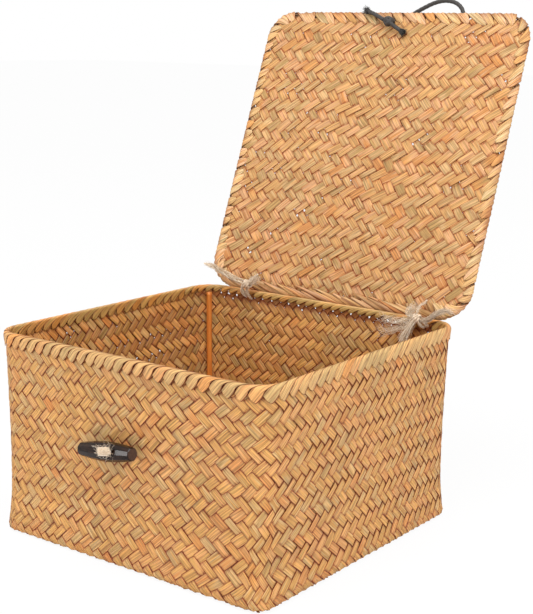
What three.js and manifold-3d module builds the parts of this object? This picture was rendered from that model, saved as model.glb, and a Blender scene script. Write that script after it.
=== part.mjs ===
// A plaited lidded storage box of dried sedge. The basket is one plaited mat with four corner
// stakes, and its rim is folded over a wire hoop. The plaited lid is lashed to the rear rim by
// two twine ties. A toggle on the front wall and a cord loop on the lid close it.
// Millimetres, +Z up. The origin is the centre of the underside, the toggle faces -Y and the lid
// turns at the rear, +Y. The lid stands open, leaning back until its ties are taut.
import * as THREE from "three";
import { mergeVertices } from "three/addons/utils/BufferGeometryUtils.js";
import Module from "manifold-3d";

// Fits
const clearance = 0.3; // between pieces that lie against each other
const overrun = 2; // how far a cutting solid runs past the wall that it cuts

// Basket
const rimWidth = 270; // over the border, along X
const rimDepth = 262; // over the border, along Y
const boxHeight = 163; // from the underside to the top of the border
const rimCornerRadius = 24;
const baseCornerRadius = 15;
const sideBatter = 3.2; // how far the foot of each side wall lies inside the rim
const frontBatter = 1.8; // the same for the front and rear walls
const waist = 3; // how far the walls draw in between the rim and the foot
const baseEdgeRadius = 4; // bend between the floor and the walls
const wallThickness = 3; // two crossing strips
const floorThickness = 3;

// Rim border, strips folded down both sides of a hoop
const borderThickness = 1.6;
const borderOutsideReach = 13;
const borderInsideReach = 9;

// Lid, measured flat
const lidOverhang = 1; // past the rim on every side, before it is shifted
const lidMatThickness = 2.6;
const lidBorderThickness = 1.4;
const lidBorderReach = 8.5;
const lidShift = 2.4; // the lid sits a little to the right on its ties
const lidOpenDegrees = 111.1; // from shut to leaning on its ties

// Hinge ties, rings of twine round the line that the lid turns about
const hingeBeyondRim = 1; // the hinge line lies just outside the rear rim
const tieRadius = 13; // hinge line to the middle of the twine
const twineDiameter = 2.6;
const leftTieFromSide = 56;
const rightTieFromSide = 37;
const tieKnotAcross = 9.6;
const tieKnotDeep = 7.8;
const tieKnotHigh = 9;
const leftKnotDegrees = 168; // place of the knot on its ring, counted from +Y over the top
const rightKnotDegrees = 196;

// Frayed tail of the left tie, from the knot's centre, resting towards the lid
const leftTailRoute = [
  [-5.4, 0, 0.6],
  [-11, -0.1, 2.2],
  [-19, 0.8, 4],
  [-28, 2.9, 5.8],
  [-37, 5.6, 7.5],
  [-46, 8.8, 9],
  [-53, 10.8, 9.8],
  [-60.5, 12.4, 10.3],
];

// Corner stakes
const stakeDiameter = 5;
const stakeGap = 0.5; // to the wall and the floor

// Toggle, a faceted barrel held by twine through its middle
const toggleLength = 60;
const toggleDiameter = 15;
const toggleGap = 0.8; // between the barrel and the wall
const toggleShift = -6.7;
const toggleHeight = 92;
const toggleTiltDegrees = 6.9;
const toggleTieDiameter = 2.4;
const toggleHoleGap = 0.4;
const frontKnotAcross = 11;
const frontKnotDeep = 5;
const frontKnotHigh = 7;
const innerKnotAcross = 8;
const innerKnotDeep = 5.4;

// Closing loop, one cord whose ends go through the lid to a knot on its inner face
const loopDiameter = 2.8;
const loopHoleFromEdge = 11;
const loopHoleShift = -2;
const loopHoleSpacing = 3.6; // between the middles of the two legs
const loopHoleSlack = 1.6; // round both legs, where they bend over the slot's edge
const loopKnotAcross = 10;
const loopKnotDeep = 8.4;
const loopKnotHigh = 7.2;
const loopKnotDrop = 6.4; // its centre below the middle of the mat

// Route of the loop from the hole's centre: across, towards the front edge, above the mat's middle
const loopRoute = [
  [-1.8, 0, -2.4],
  [-1.8, 0, -0.6],
  [-1.2, 0.35, 2.2],
  [0.7, 1.4, 4.3],
  [3.2, 2.9, 5.1],
  [7.5, 5.4, 5.3],
  [13, 8.8, 5.2],
  [19, 12.8, 5.1],
  [27, 17.4, 5],
  [36, 21.6, 4.9],
  [46, 23.6, 4.9],
  [56.5, 21.8, 4.9],
  [63.5, 17, 5],
  [67.6, 9.6, 5.1],
  [69.8, 1, 5],
  [69.6, -8, 4.5],
  [66.5, -17, 3.9],
  [60, -25, 3.5],
  [51, -30.6, 3.4],
  [40, -32.4, 3.4],
  [29.5, -30, 3.4],
  [20.2, -25, 3.4],
  [12.8, -18.4, 3.6],
  [7.4, -11.6, 3.9],
  [4, -5.8, 3.9],
  [2.6, -2.8, 3.1],
  [1.95, -0.8, 1.2],
  [1.8, 0, -1.4],
  [1.8, 0, -2.4],
];
const loopShortTailRoute = [
  [2, -1.6, -6.2],
  [7.4, -4.6, -5],
  [12, -7, -3.9],
  [16, -9.3, -3.4],
];
const loopLongTailRoute = [
  [-5.4, 1.5, -5.8],
  [-12, 4.6, -5.3],
  [-19, 7.7, -5.1],
  [-26.5, 10.3, -5.1],
];

// Fineness of the faceted solids
const cornerSteps = 6;
const bendSteps = 4;
const hoopSides = 8;
const cordSides = 8;
const knotSteps = 10;
const ringSteps = 28;

// Derived places
const rimRadius = borderThickness + clearance + wallThickness / 2;
const hoopRadius = rimRadius - borderThickness - clearance;
const wallTop = boxHeight - rimRadius - hoopRadius - clearance;
const lidWidth = rimWidth + 2 * lidOverhang;
const lidDepth = rimDepth + 2 * lidOverhang;
const lidCornerRadius = rimCornerRadius + lidOverhang;
const lidEdgeRadius = lidBorderThickness + clearance + lidMatThickness / 2;
const lidHoopRadius = lidEdgeRadius - lidBorderThickness - clearance;
const hingeY = rimDepth / 2 + hingeBeyondRim;
const hingeHeight = boxHeight + clearance + lidEdgeRadius;
const twineRadius = twineDiameter / 2;
const loopHoleY = lidEdgeRadius - lidDepth + loopHoleFromEdge;

// The walls from the foot's bend to the lower edge of the border: share of that height, share of
// the way from the foot's outline to the rim's, and share of the waist.
const wallShares = [
  [0, 0, 0],
  [0.08, 0.05, 0.55],
  [0.2, 0.15, 1],
  [0.35, 0.35, 1],
  [0.55, 0.6, 0.8],
  [0.8, 0.9, 0.3],
  [1, 1, 0],
];

// Half of the toggle's profile: share of its half length, share of its radius
const toggleShares = [
  [1, 0],
  [1, 0.44],
  [0.94, 0.56],
  [0.6, 0.82],
  [0.22, 0.98],
];

const finishes = {
  sedge: { color: 0xcf9d5f, roughness: 0.62 },
  sedgeLid: { color: 0xd6a468, roughness: 0.6 },
  wire: { color: 0x8c8a84, roughness: 0.4, metalness: 0.8 },
  stake: { color: 0xc87a35, roughness: 0.5 },
  twine: { color: 0xb59a74, roughness: 0.95 },
  horn: { color: 0x2a1c17, roughness: 0.25 },
  cord: { color: 0x3a3b3c, roughness: 0.7 },
};

const wasm = await Module();
wasm.setup();

// A closed geometry as a manifold-3d solid.
function solidOf(geometry) {
  const bare = new THREE.BufferGeometry();
  bare.setAttribute("position", geometry.getAttribute("position"));
  bare.setIndex(geometry.index);
  const merged = mergeVertices(bare);
  return new wasm.Manifold(
    new wasm.Mesh({
      numProp: 3,
      vertProperties: merged.attributes.position.array,
      triVerts: new Uint32Array(merged.index.array),
    }),
  );
}

// A manifold-3d solid as a geometry.
function geometryOf(solid) {
  const mesh = solid.getMesh();
  const geometry = new THREE.BufferGeometry();
  geometry.setAttribute("position", new THREE.BufferAttribute(mesh.vertProperties, 3));
  geometry.setIndex(new THREE.BufferAttribute(mesh.triVerts, 1));
  geometry.computeVertexNormals();
  return geometry;
}

function cut(geometry, cutters) {
  return geometryOf(cutters.reduce((solid, cutter) => solid.subtract(solidOf(cutter)), solidOf(geometry)));
}

function join(geometries) {
  return geometryOf(geometries.map(solidOf).reduce((solid, next) => solid.add(next)));
}

// Corners of a rectangle with rounded corners, counter-clockwise seen from above.
function roundedRectangle(width, depth, radius) {
  const quarters = [
    [1, 1],
    [-1, 1],
    [-1, -1],
    [1, -1],
  ];
  return quarters.flatMap(([sideX, sideY], quarter) =>
    Array.from({ length: cornerSteps + 1 }, (_, step) => {
      const angle = ((quarter + step / cornerSteps) * Math.PI) / 2;
      return new THREE.Vector2(
        sideX * (width / 2 - radius) + radius * Math.cos(angle),
        sideY * (depth / 2 - radius) + radius * Math.sin(angle),
      );
    }),
  );
}

// One closed body from rings with as many points each. Rings follow each other up the outside,
// and down the inside. An endless skin joins the last ring to the first; the other is capped.
function skin(rings, endless) {
  const count = rings[0].length;
  const points = rings.flat();
  const faces = [];
  const bands = endless ? rings.length : rings.length - 1;
  for (let band = 0; band < bands; band++) {
    const low = band * count;
    const high = ((band + 1) % rings.length) * count;
    for (let side = 0; side < count; side++) {
      const next = (side + 1) % count;
      faces.push(low + side, low + next, high + next);
      faces.push(low + side, high + next, high + side);
    }
  }
  if (!endless) {
    const last = (rings.length - 1) * count;
    for (let side = 1; side < count - 1; side++) {
      faces.push(0, side + 1, side);
      faces.push(last, last + side, last + side + 1);
    }
  }
  const geometry = new THREE.BufferGeometry().setFromPoints(points);
  geometry.setIndex(faces);
  geometry.computeVertexNormals();
  return geometry;
}

// A ring of points at the inset and height given, round the rim of the basket.
function rimRing(inset, height) {
  return roundedRectangle(rimWidth - 2 * inset, rimDepth - 2 * inset, rimCornerRadius - inset).map(
    (point) => new THREE.Vector3(point.x, point.y, height),
  );
}

// The same round the lid, lying flat with the hinge line as its origin.
function lidRing(inset, height) {
  return roundedRectangle(lidWidth - 2 * inset, lidDepth - 2 * inset, lidCornerRadius - inset).map(
    (point) => new THREE.Vector3(point.x, point.y + lidEdgeRadius - lidDepth / 2, height),
  );
}

// Inset and height of points round half a circle, the outermost in the middle.
function bend(radius, centreInset, centreHeight, startDegrees, endDegrees) {
  return Array.from({ length: bendSteps * 2 + 1 }, (_, step) => {
    const degrees = startDegrees + ((endDegrees - startDegrees) * step) / (bendSteps * 2);
    const angle = THREE.MathUtils.degToRad(degrees);
    return [centreInset - radius * Math.cos(angle), centreHeight + radius * Math.sin(angle)];
  });
}

// Outline of the wall's outer face at a share of the height between foot and border.
function wallOutline(share) {
  const above = Math.max(
    1,
    wallShares.findIndex(([height]) => height >= share),
  );
  const [lowHeight, lowSpread, lowWaist] = wallShares[above - 1];
  const [highHeight, highSpread, highWaist] = wallShares[above];
  const along = (share - lowHeight) / (highHeight - lowHeight);
  const spread = THREE.MathUtils.lerp(lowSpread, highSpread, along);
  const drawn = waist * THREE.MathUtils.lerp(lowWaist, highWaist, along);
  const borderInset = borderThickness + clearance;
  return {
    insetX: THREE.MathUtils.lerp(sideBatter, borderInset, spread) + drawn,
    insetY: THREE.MathUtils.lerp(frontBatter, borderInset, spread) + drawn,
    radius: THREE.MathUtils.lerp(baseCornerRadius, rimCornerRadius - borderInset, spread) - drawn,
    height: THREE.MathUtils.lerp(baseEdgeRadius, boxHeight - borderOutsideReach, share),
  };
}

function outlineRing(outline, inset, height) {
  return roundedRectangle(
    rimWidth - 2 * (outline.insetX + inset),
    rimDepth - 2 * (outline.insetY + inset),
    outline.radius - inset,
  ).map((point) => new THREE.Vector3(point.x, point.y, height));
}

// Inset of the front or rear wall's outer face at a height.
function wallInsetY(height) {
  const share = (height - baseEdgeRadius) / (boxHeight - borderOutsideReach - baseEdgeRadius);
  return wallOutline(THREE.MathUtils.clamp(share, 0, 1)).insetY;
}

// A tube of constant width along a smooth curve through the points given.
function tube(points, diameter, steps, sides) {
  const section = new THREE.Shape(
    Array.from({ length: sides }, (_, side) => {
      const angle = (side / sides) * Math.PI * 2;
      return new THREE.Vector2(Math.cos(angle), Math.sin(angle)).multiplyScalar(diameter / 2);
    }),
  );
  return new THREE.ExtrudeGeometry(section, {
    steps,
    extrudePath: new THREE.CatmullRomCurve3(points, false, "centripetal"),
  });
}

// A lump as wide, deep and high as given, round a centre.
function lump(across, deep, high, centre) {
  const ball = new THREE.SphereGeometry(1, knotSteps, knotSteps / 2 + 1);
  ball.scale(across / 2, deep / 2, high / 2);
  ball.translate(centre.x, centre.y, centre.z);
  return ball;
}

// A ring of twine in the YZ plane, at a place along the hinge line.
function tieRing(radius, place) {
  const ring = new THREE.TorusGeometry(tieRadius, radius, hoopSides, ringSteps);
  ring.rotateY(Math.PI / 2);
  ring.translate(place.x, place.y, place.z);
  return ring;
}

function add(group, name, geometry, finish) {
  const mesh = new THREE.Mesh(geometry, new THREE.MeshStandardMaterial(finish));
  mesh.name = name;
  group.add(mesh);
}

const hingeTies = [
  { side: "left", x: leftTieFromSide - rimWidth / 2, knotDegrees: leftKnotDegrees },
  { side: "right", x: rimWidth / 2 - rightTieFromSide, knotDegrees: rightKnotDegrees },
];

const toggleWallY = wallInsetY(toggleHeight) - rimDepth / 2;
const toggleY = toggleWallY - toggleGap - toggleDiameter / 2;

// Plaited floor and walls in one skin, with holes for the ties and the toggle's twine.
function basket() {
  const outlines = wallShares.map(([share]) => wallOutline(share));
  const foot = outlines[0];
  const top = outlines.at(-1);
  const edgeShares = bend(1, 0, 0, -90, 0).filter((_, step) => step % 2 === 0);
  const outside = [
    ...edgeShares.map(([out, up]) =>
      outlineRing(foot, baseEdgeRadius * (1 + out), baseEdgeRadius * (1 + up)),
    ),
    ...outlines.slice(1).map((outline) => outlineRing(outline, 0, outline.height)),
    outlineRing(top, 0, wallTop),
  ];
  const inside = [
    outlineRing(top, wallThickness, wallTop),
    ...outlines
      .slice(1)
      .reverse()
      .map((outline) => outlineRing(outline, wallThickness, outline.height)),
    outlineRing(foot, wallThickness, floorThickness),
  ];
  const holes = hingeTies.map((tie) =>
    tieRing(twineRadius + clearance, new THREE.Vector3(tie.x, hingeY, hingeHeight)),
  );
  const holeDepth = wallThickness + 2 * overrun;
  const hole = new THREE.CylinderGeometry(1, 1, 1, cordSides);
  hole.scale(toggleTieDiameter / 2 + clearance, holeDepth, toggleTieDiameter / 2 + clearance);
  hole.translate(toggleShift, toggleWallY + wallThickness / 2, toggleHeight);
  return cut(skin([...outside, ...inside], false), [...holes, hole]);
}

// Strips folded over the hoop: an upside-down channel round the rim, open below.
function rimBorder() {
  const crown = boxHeight - rimRadius;
  const innerFace = 2 * rimRadius;
  const section = [
    [0, boxHeight - borderOutsideReach],
    ...bend(rimRadius, rimRadius, crown, 0, 180),
    [innerFace, boxHeight - borderInsideReach],
    [innerFace - borderThickness, boxHeight - borderInsideReach],
    ...bend(rimRadius - borderThickness, rimRadius, crown, 180, 0),
    [borderThickness, boxHeight - borderOutsideReach],
  ];
  const channel = skin(
    section.map(([inset, height]) => rimRing(inset, height)),
    true,
  );
  const holes = hingeTies.map((tie) =>
    tieRing(twineRadius + clearance, new THREE.Vector3(tie.x, hingeY, hingeHeight)),
  );
  return cut(channel, holes);
}

// A closed wire of round section: insets and heights round a circle, carried by a ring of points.
function hoop(ring, radius, centreInset, centreHeight) {
  const section = Array.from({ length: hoopSides }, (_, side) => {
    const angle = (side / hoopSides) * Math.PI * 2;
    return ring(centreInset - radius * Math.cos(angle), centreHeight + radius * Math.sin(angle));
  });
  return skin(section, true);
}

// A stake bent along the inside of one corner, from the floor to under the border.
function cornerStake(sideX, sideY) {
  const inward = wallThickness + stakeGap + stakeDiameter / 2;
  const points = wallShares
    .map(([share]) => wallOutline(share))
    .map((outline) => {
      const reach = outline.radius - (outline.radius - inward) * Math.SQRT1_2;
      return new THREE.Vector3(
        sideX * (rimWidth / 2 - outline.insetX - reach),
        sideY * (rimDepth / 2 - outline.insetY - reach),
        outline.height,
      );
    });
  const foot = points[0].setZ(floorThickness + stakeGap);
  const head = points.at(-1).clone().setZ(boxHeight - borderInsideReach - clearance);
  return tube([foot, ...points.slice(1), head], stakeDiameter, 2 * wallShares.length, cordSides);
}

// The plaited panel of the lid, with slots for the ties and a slot for the loop's two legs.
function lidMat() {
  const edge = lidEdgeRadius + lidHoopRadius + clearance;
  const panel = skin([lidRing(edge, -lidMatThickness / 2), lidRing(edge, lidMatThickness / 2)], false);
  const slots = hingeTies.map((tie) =>
    tieRing(twineRadius + clearance, new THREE.Vector3(tie.x - lidShift, 0, 0)),
  );
  const slot = new THREE.BoxGeometry(
    loopHoleSpacing + loopDiameter + 2 * loopHoleSlack,
    loopDiameter + 2 * loopHoleSlack,
    lidMatThickness + 2 * overrun,
  );
  slot.translate(loopHoleShift, loopHoleY, 0);
  return cut(panel, [...slots, slot]);
}

// Strips folded over the lid's hoop: a channel on its side, open towards the mat.
function lidBorder() {
  const inner = lidEdgeRadius - lidBorderThickness;
  const section = [
    [lidBorderReach, -lidEdgeRadius],
    ...bend(lidEdgeRadius, lidEdgeRadius, 0, -90, 90),
    [lidBorderReach, lidEdgeRadius],
    [lidBorderReach, inner],
    ...bend(inner, lidEdgeRadius, 0, 90, -90),
    [lidBorderReach, -inner],
  ];
  return skin(
    section.map(([inset, height]) => lidRing(inset, height)),
    true,
  );
}

// The lump where a tie is knotted, round its own ring.
function tieKnot(tie) {
  const angle = THREE.MathUtils.degToRad(tie.knotDegrees);
  const centre = tieKnotCentre(tie, angle);
  const knot = lump(tieKnotAcross, tieKnotDeep, tieKnotHigh, centre);
  const place = new THREE.Vector3(tie.x, hingeY, hingeHeight);
  return cut(knot, [tieRing(twineRadius + clearance, place)]);
}

function tieKnotCentre(tie, angle) {
  return new THREE.Vector3(
    tie.x,
    hingeY + tieRadius * Math.cos(angle),
    hingeHeight + tieRadius * Math.sin(angle),
  );
}

function leftTail() {
  const [tie] = hingeTies;
  const centre = tieKnotCentre(tie, THREE.MathUtils.degToRad(tie.knotDegrees));
  const points = leftTailRoute.map((point) => new THREE.Vector3(...point).add(centre));
  return tube(points, twineDiameter, 2 * leftTailRoute.length, cordSides);
}

// The barrel, turned along X, with the hole for its twine along Y. Its origin is its middle.
function toggle() {
  const half = toggleShares.map(
    ([along, wide]) => new THREE.Vector2((wide * toggleDiameter) / 2, (along * toggleLength) / 2),
  );
  const upper = half.toReversed();
  const lower = half.map((point) => new THREE.Vector2(point.x, -point.y));
  const barrel = new THREE.LatheGeometry([...lower, ...upper], cordSides);
  barrel.rotateZ(-Math.PI / 2);
  const hole = new THREE.CylinderGeometry(1, 1, 1, cordSides);
  const holeRadius = toggleTieDiameter / 2 + toggleHoleGap;
  hole.scale(holeRadius, toggleDiameter + 2 * overrun, holeRadius);
  return cut(barrel, [hole]);
}

// Twine from a knot inside the wall, through wall and toggle, to a knot in front.
function toggleTie() {
  const innerY = toggleWallY + wallThickness + clearance + innerKnotDeep / 2;
  const frontY = toggleY - toggleDiameter / 2 - clearance - frontKnotDeep / 2;
  const stem = new THREE.CylinderGeometry(1, 1, 1, cordSides);
  stem.scale(toggleTieDiameter / 2, innerY - frontY, toggleTieDiameter / 2);
  stem.translate(toggleShift, (innerY + frontY) / 2, toggleHeight);
  const frontCentre = new THREE.Vector3(toggleShift, frontY, toggleHeight);
  const innerCentre = new THREE.Vector3(toggleShift, innerY, toggleHeight);
  return join([
    stem,
    lump(frontKnotAcross, frontKnotDeep, frontKnotHigh, frontCentre),
    lump(innerKnotAcross, innerKnotDeep, innerKnotAcross, innerCentre),
  ]);
}

// Points of a cord on the lid, from across, towards the front edge and above the mat's middle.
function onLid(route) {
  return route.map(
    ([across, frontwards, up]) => new THREE.Vector3(loopHoleShift + across, loopHoleY - frontwards, up),
  );
}

function loopKnot() {
  const centre = new THREE.Vector3(loopHoleShift, loopHoleY, -loopKnotDrop);
  return join([
    lump(loopKnotAcross, loopKnotDeep, loopKnotHigh, centre),
    tube(onLid(loopShortTailRoute), loopDiameter, 2 * loopShortTailRoute.length, cordSides),
  ]);
}

const box = new THREE.Group();
add(box, "box_basket", basket(), finishes.sedge);
add(box, "rim_border", rimBorder(), finishes.sedge);
add(box, "rim_hoop", hoop(rimRing, hoopRadius, rimRadius, boxHeight - rimRadius), finishes.wire);
for (const [depthName, sideY] of [
  ["front", -1],
  ["rear", 1],
]) {
  for (const [sideName, sideX] of [
    ["left", -1],
    ["right", 1],
  ]) {
    add(box, `corner_stake_${depthName}_${sideName}`, cornerStake(sideX, sideY), finishes.stake);
  }
}
for (const tie of hingeTies) {
  const place = new THREE.Vector3(tie.x, hingeY, hingeHeight);
  add(box, `${tie.side}_hinge_tie`, tieRing(twineRadius, place), finishes.twine);
  add(box, `${tie.side}_hinge_knot`, tieKnot(tie), finishes.twine);
}
add(box, "left_tie_tail", leftTail(), finishes.twine);
add(box, "toggle_tie", toggleTie(), finishes.twine);

const toggleGroup = new THREE.Group();
toggleGroup.position.set(toggleShift, toggleY, toggleHeight);
toggleGroup.rotation.y = -THREE.MathUtils.degToRad(toggleTiltDegrees);
add(toggleGroup, "toggle", toggle(), finishes.horn);
box.add(toggleGroup);

const lid = new THREE.Group();
lid.position.set(lidShift, hingeY, hingeHeight);
lid.rotation.x = -THREE.MathUtils.degToRad(lidOpenDegrees);
add(lid, "lid_mat", lidMat(), finishes.sedgeLid);
add(lid, "lid_border", lidBorder(), finishes.sedgeLid);
add(lid, "lid_hoop", hoop(lidRing, lidHoopRadius, lidEdgeRadius, 0), finishes.wire);
add(
  lid,
  "closing_loop",
  tube(onLid(loopRoute), loopDiameter, 2 * loopRoute.length, cordSides),
  finishes.cord,
);
add(lid, "closing_loop_knot", loopKnot(), finishes.cord);
add(
  lid,
  "closing_loop_tail",
  tube(onLid(loopLongTailRoute), loopDiameter, 2 * loopLongTailRoute.length, cordSides),
  finishes.cord,
);
box.add(lid);

export default box;
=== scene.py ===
"""A plaited lidded storage box of dried sedge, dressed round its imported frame.

Every strip of the basket, the lid, the floor and the folded borders is real geometry: a thin
ribbon with rounded edges that passes over two crossing strips and under the next two. Lengths in
the classes are millimetres, and meshes are written in metres. The origin is the centre of the
underside, +Z is up, the toggle faces -Y and the lid turns at the rear.
"""

import logging
import math
from collections.abc import Mapping
from dataclasses import dataclass
from enum import Enum

import bpy
import numpy as np
from mathutils import Matrix, Vector


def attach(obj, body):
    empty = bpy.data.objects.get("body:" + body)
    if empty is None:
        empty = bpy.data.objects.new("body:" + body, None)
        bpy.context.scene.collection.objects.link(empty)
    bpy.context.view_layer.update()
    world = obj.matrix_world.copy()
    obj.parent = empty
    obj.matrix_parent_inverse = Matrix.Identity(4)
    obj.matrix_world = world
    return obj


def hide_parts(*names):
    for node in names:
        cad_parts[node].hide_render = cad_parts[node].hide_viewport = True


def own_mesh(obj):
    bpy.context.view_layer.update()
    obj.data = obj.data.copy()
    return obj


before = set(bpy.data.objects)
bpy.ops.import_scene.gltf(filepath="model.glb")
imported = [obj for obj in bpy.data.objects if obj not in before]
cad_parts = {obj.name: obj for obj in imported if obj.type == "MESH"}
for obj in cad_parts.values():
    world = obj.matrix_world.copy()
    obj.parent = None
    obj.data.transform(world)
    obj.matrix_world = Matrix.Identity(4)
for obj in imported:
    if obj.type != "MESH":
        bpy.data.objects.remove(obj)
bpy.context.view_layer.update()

LOG = logging.getLogger("box")
MM = 0.001
METRE = 1000.0  # in millimetres, as the sizes of noises are given
STRIP_MAP = "strip"
Array = np.ndarray
Socket = bpy.types.NodeSocket
Material = bpy.types.Material
Piece = bpy.types.Object
Inputs = Mapping[str | int, object]
Route = tuple[tuple[float, float, float], ...]


class Family(Enum):
    """The two families of crossing strips, by the way they lean to a viewer in front of them."""

    RISING = 1
    FALLING = -1


class Axis(Enum):
    """The axes of Object coordinates."""

    X = 0
    Y = 1
    Z = 2


# Helpers for colours and nodes


def linear(colour: str) -> tuple[float, float, float, float]:
    """Turns an sRGB hex colour into the linear values that a shader takes.

    Args:
        colour: Hex colour such as "#C8965A".

    Returns:
        Linear red, green, blue and alpha.
    """
    shares = [int(colour[i : i + 2], 16) / 255 for i in (1, 3, 5)]
    values = [s / 12.92 if s <= 0.04045 else ((s + 0.055) / 1.055) ** 2.4 for s in shares]
    return (values[0], values[1], values[2], 1.0)


class Nodes:
    """A node tree, with short ways to add what the finishes need."""

    def __init__(self, tree: bpy.types.NodeTree) -> None:
        """Takes the tree that gets the nodes."""
        self.tree = tree

    def fill(self, node: bpy.types.Node, inputs: Inputs) -> None:
        """Sets or links inputs of a node.

        Args:
            node: The node.
            inputs: Values or output sockets, by the name or the number of the input.
        """
        for name, value in inputs.items():
            if isinstance(value, Socket):
                self.tree.links.new(value, node.inputs[name])
            else:
                node.inputs[name].default_value = value

    def add(self, kind: str, inputs: Inputs | None = None, **settings: object) -> bpy.types.Node:
        """Adds one node.

        Args:
            kind: Node type, such as "TexNoise".
            inputs: Values or output sockets, by the name or the number of the input.
            settings: Properties to set on the node.

        Returns:
            The new node.
        """
        node = self.tree.nodes.new(f"ShaderNode{kind}")
        for name, value in settings.items():
            setattr(node, name, value)
        self.fill(node, inputs or {})
        return node

    def formula(self, operation: str, *terms: Socket | float) -> Socket:
        """Adds one sum, product or other formula of its terms."""
        return self.add("Math", dict(enumerate(terms)), operation=operation).outputs[0]

    def value(self, name: str) -> Socket:
        """Reads one named value of the mesh."""
        return self.add("Attribute", attribute_name=name).outputs["Fac"]

    def strip_map(self) -> Socket:
        """Reads the strip map."""
        return self.add("UVMap", uv_map=STRIP_MAP).outputs["UV"]

    def place(self) -> Socket:
        """Reads the place on the object."""
        return self.add("TexCoord").outputs["Object"]

    def grain(
        self, source: Socket, sizes: tuple[float, ...], detail: float, roughness: float
    ) -> Socket:
        """Adds a noise that is drawn out along some axes.

        Args:
            source: Coordinates in metres.
            sizes: Size of the noise along each axis, in millimetres.
            detail: Number of finer layers.
            roughness: Strength of each finer layer as a share of the one before.

        Returns:
            The noise, from 0 to 1.
        """
        scale = [1 / (size * MM) for size in sizes]
        mapped = self.add("Mapping", {"Vector": source, "Scale": scale}).outputs[0]
        inputs = {"Vector": mapped, "Scale": 1.0, "Detail": detail, "Roughness": roughness}
        return self.add("TexNoise", inputs).outputs["Fac"]

    def span(
        self, value: Socket, limits: tuple[float, float], ends: tuple[float, float] = (0, 1)
    ) -> Socket:
        """Stretches the values between two limits to a span with other ends."""
        names = ("From Min", "From Max", "To Min", "To Max")
        return self.add("MapRange", {0: value, **dict(zip(names, limits + ends))}).outputs[0]

    def ramp(self, share: Socket, stops: tuple[tuple[float, str], ...]) -> Socket:
        """Adds a ramp of colours.

        Args:
            share: Place on the ramp.
            stops: Place from 0 to 1 and hex colour of each stop, in order.

        Returns:
            The colour at the share.
        """
        node = self.add("ValToRGB", {"Fac": share})
        elements = node.color_ramp.elements
        while len(elements) < len(stops):
            elements.new(1.0)
        for element, (place, colour) in zip(elements, stops):
            element.position = place
            element.color = linear(colour)
        return node.outputs["Color"]

    def mix(
        self, share: Socket | float, first: Socket | str, second: Socket | str, kind: str = "MIX"
    ) -> Socket:
        """Mixes two colours.

        Args:
            share: Share of the second colour.
            first: Socket or hex colour.
            second: Socket or hex colour.
            kind: Way to mix them, such as "MULTIPLY".

        Returns:
            The mixed colour.
        """
        ends = [linear(side) if isinstance(side, str) else side for side in (first, second)]
        inputs = {0: share, 6: ends[0], 7: ends[1]}
        return self.add("Mix", inputs, data_type="RGBA", blend_type=kind).outputs[2]

    def bump(self, height: Socket, strength: float, depth: float) -> Socket:
        """Turns heights into a relief, whose depth is given in millimetres."""
        inputs = {"Height": height, "Strength": strength, "Distance": depth * MM}
        return self.add("Bump", inputs).outputs[0]


class Paint(Nodes):
    """A new material with one principled shader."""

    def __init__(self, name: str) -> None:
        """Makes the material.

        Args:
            name: Its name.
        """
        self.material = bpy.data.materials.new(name)
        self.material.use_nodes = True
        super().__init__(self.material.node_tree)
        self.shader = self.tree.nodes["Principled BSDF"]

    def done(self, inputs: Inputs) -> Material:
        """Fills the shader's inputs and hands the material over."""
        self.fill(self.shader, inputs)
        return self.material


# Helpers for meshes and paths


def mesh_object(
    name: str,
    vertices: Array,
    loops: Array,
    starts: Array,
    uv: Array | None = None,
    values: Mapping[str, Array] | None = None,
    smooth: bool = True,
) -> Piece:
    """Writes arrays into a new mesh object, turned so that its faces point outwards.

    The faces of a closed body point outwards where the sum of the signed volumes of the
    tetrahedra between the origin and each face's fan of triangles is above zero.

    Args:
        name: Name of the object.
        vertices: Points in millimetres, one row each.
        loops: Corner vertices of all the faces, face by face.
        starts: Where each face starts in loops.
        uv: Two map coordinates per vertex, in metres.
        values: Named numbers per vertex.
        smooth: Whether the faces are shaded smooth.

    Returns:
        The new object, in the scene.
    """
    ends = np.append(starts[1:], len(loops))
    sizes = ends - starts
    fans = np.repeat(starts, sizes)
    corner = np.arange(len(loops))
    inside = (corner - fans > 0) & (corner < np.repeat(ends, sizes) - 1)
    a, b, c = (vertices[loops[k]] for k in (fans[inside], corner[inside], corner[inside] + 1))
    if np.einsum("ij,ij->i", a, np.cross(b, c)).sum() < 0:
        loops = loops[np.repeat(starts + ends, sizes) - 1 - corner]
    mesh = bpy.data.meshes.new(name)
    mesh.vertices.add(len(vertices))
    mesh.vertices.foreach_set("co", (vertices * MM).astype(np.float32).ravel())
    mesh.loops.add(len(loops))
    mesh.loops.foreach_set("vertex_index", loops.astype(np.int32))
    mesh.polygons.add(len(starts))
    mesh.polygons.foreach_set("loop_start", starts.astype(np.int32))
    mesh.polygons.foreach_set("use_smooth", np.full(len(starts), smooth))
    if uv is not None:
        layer = mesh.uv_layers.new(name=STRIP_MAP)
        layer.data.foreach_set("uv", uv[loops].astype(np.float32).ravel())
    for key, numbers in (values or {}).items():
        attribute = mesh.attributes.new(key, "FLOAT", "POINT")
        attribute.data.foreach_set("value", numbers.astype(np.float32).ravel())
    mesh.update(calc_edges=True)
    mesh.validate()
    piece = bpy.data.objects.new(name, mesh)
    bpy.context.scene.collection.objects.link(piece)
    return piece


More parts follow.
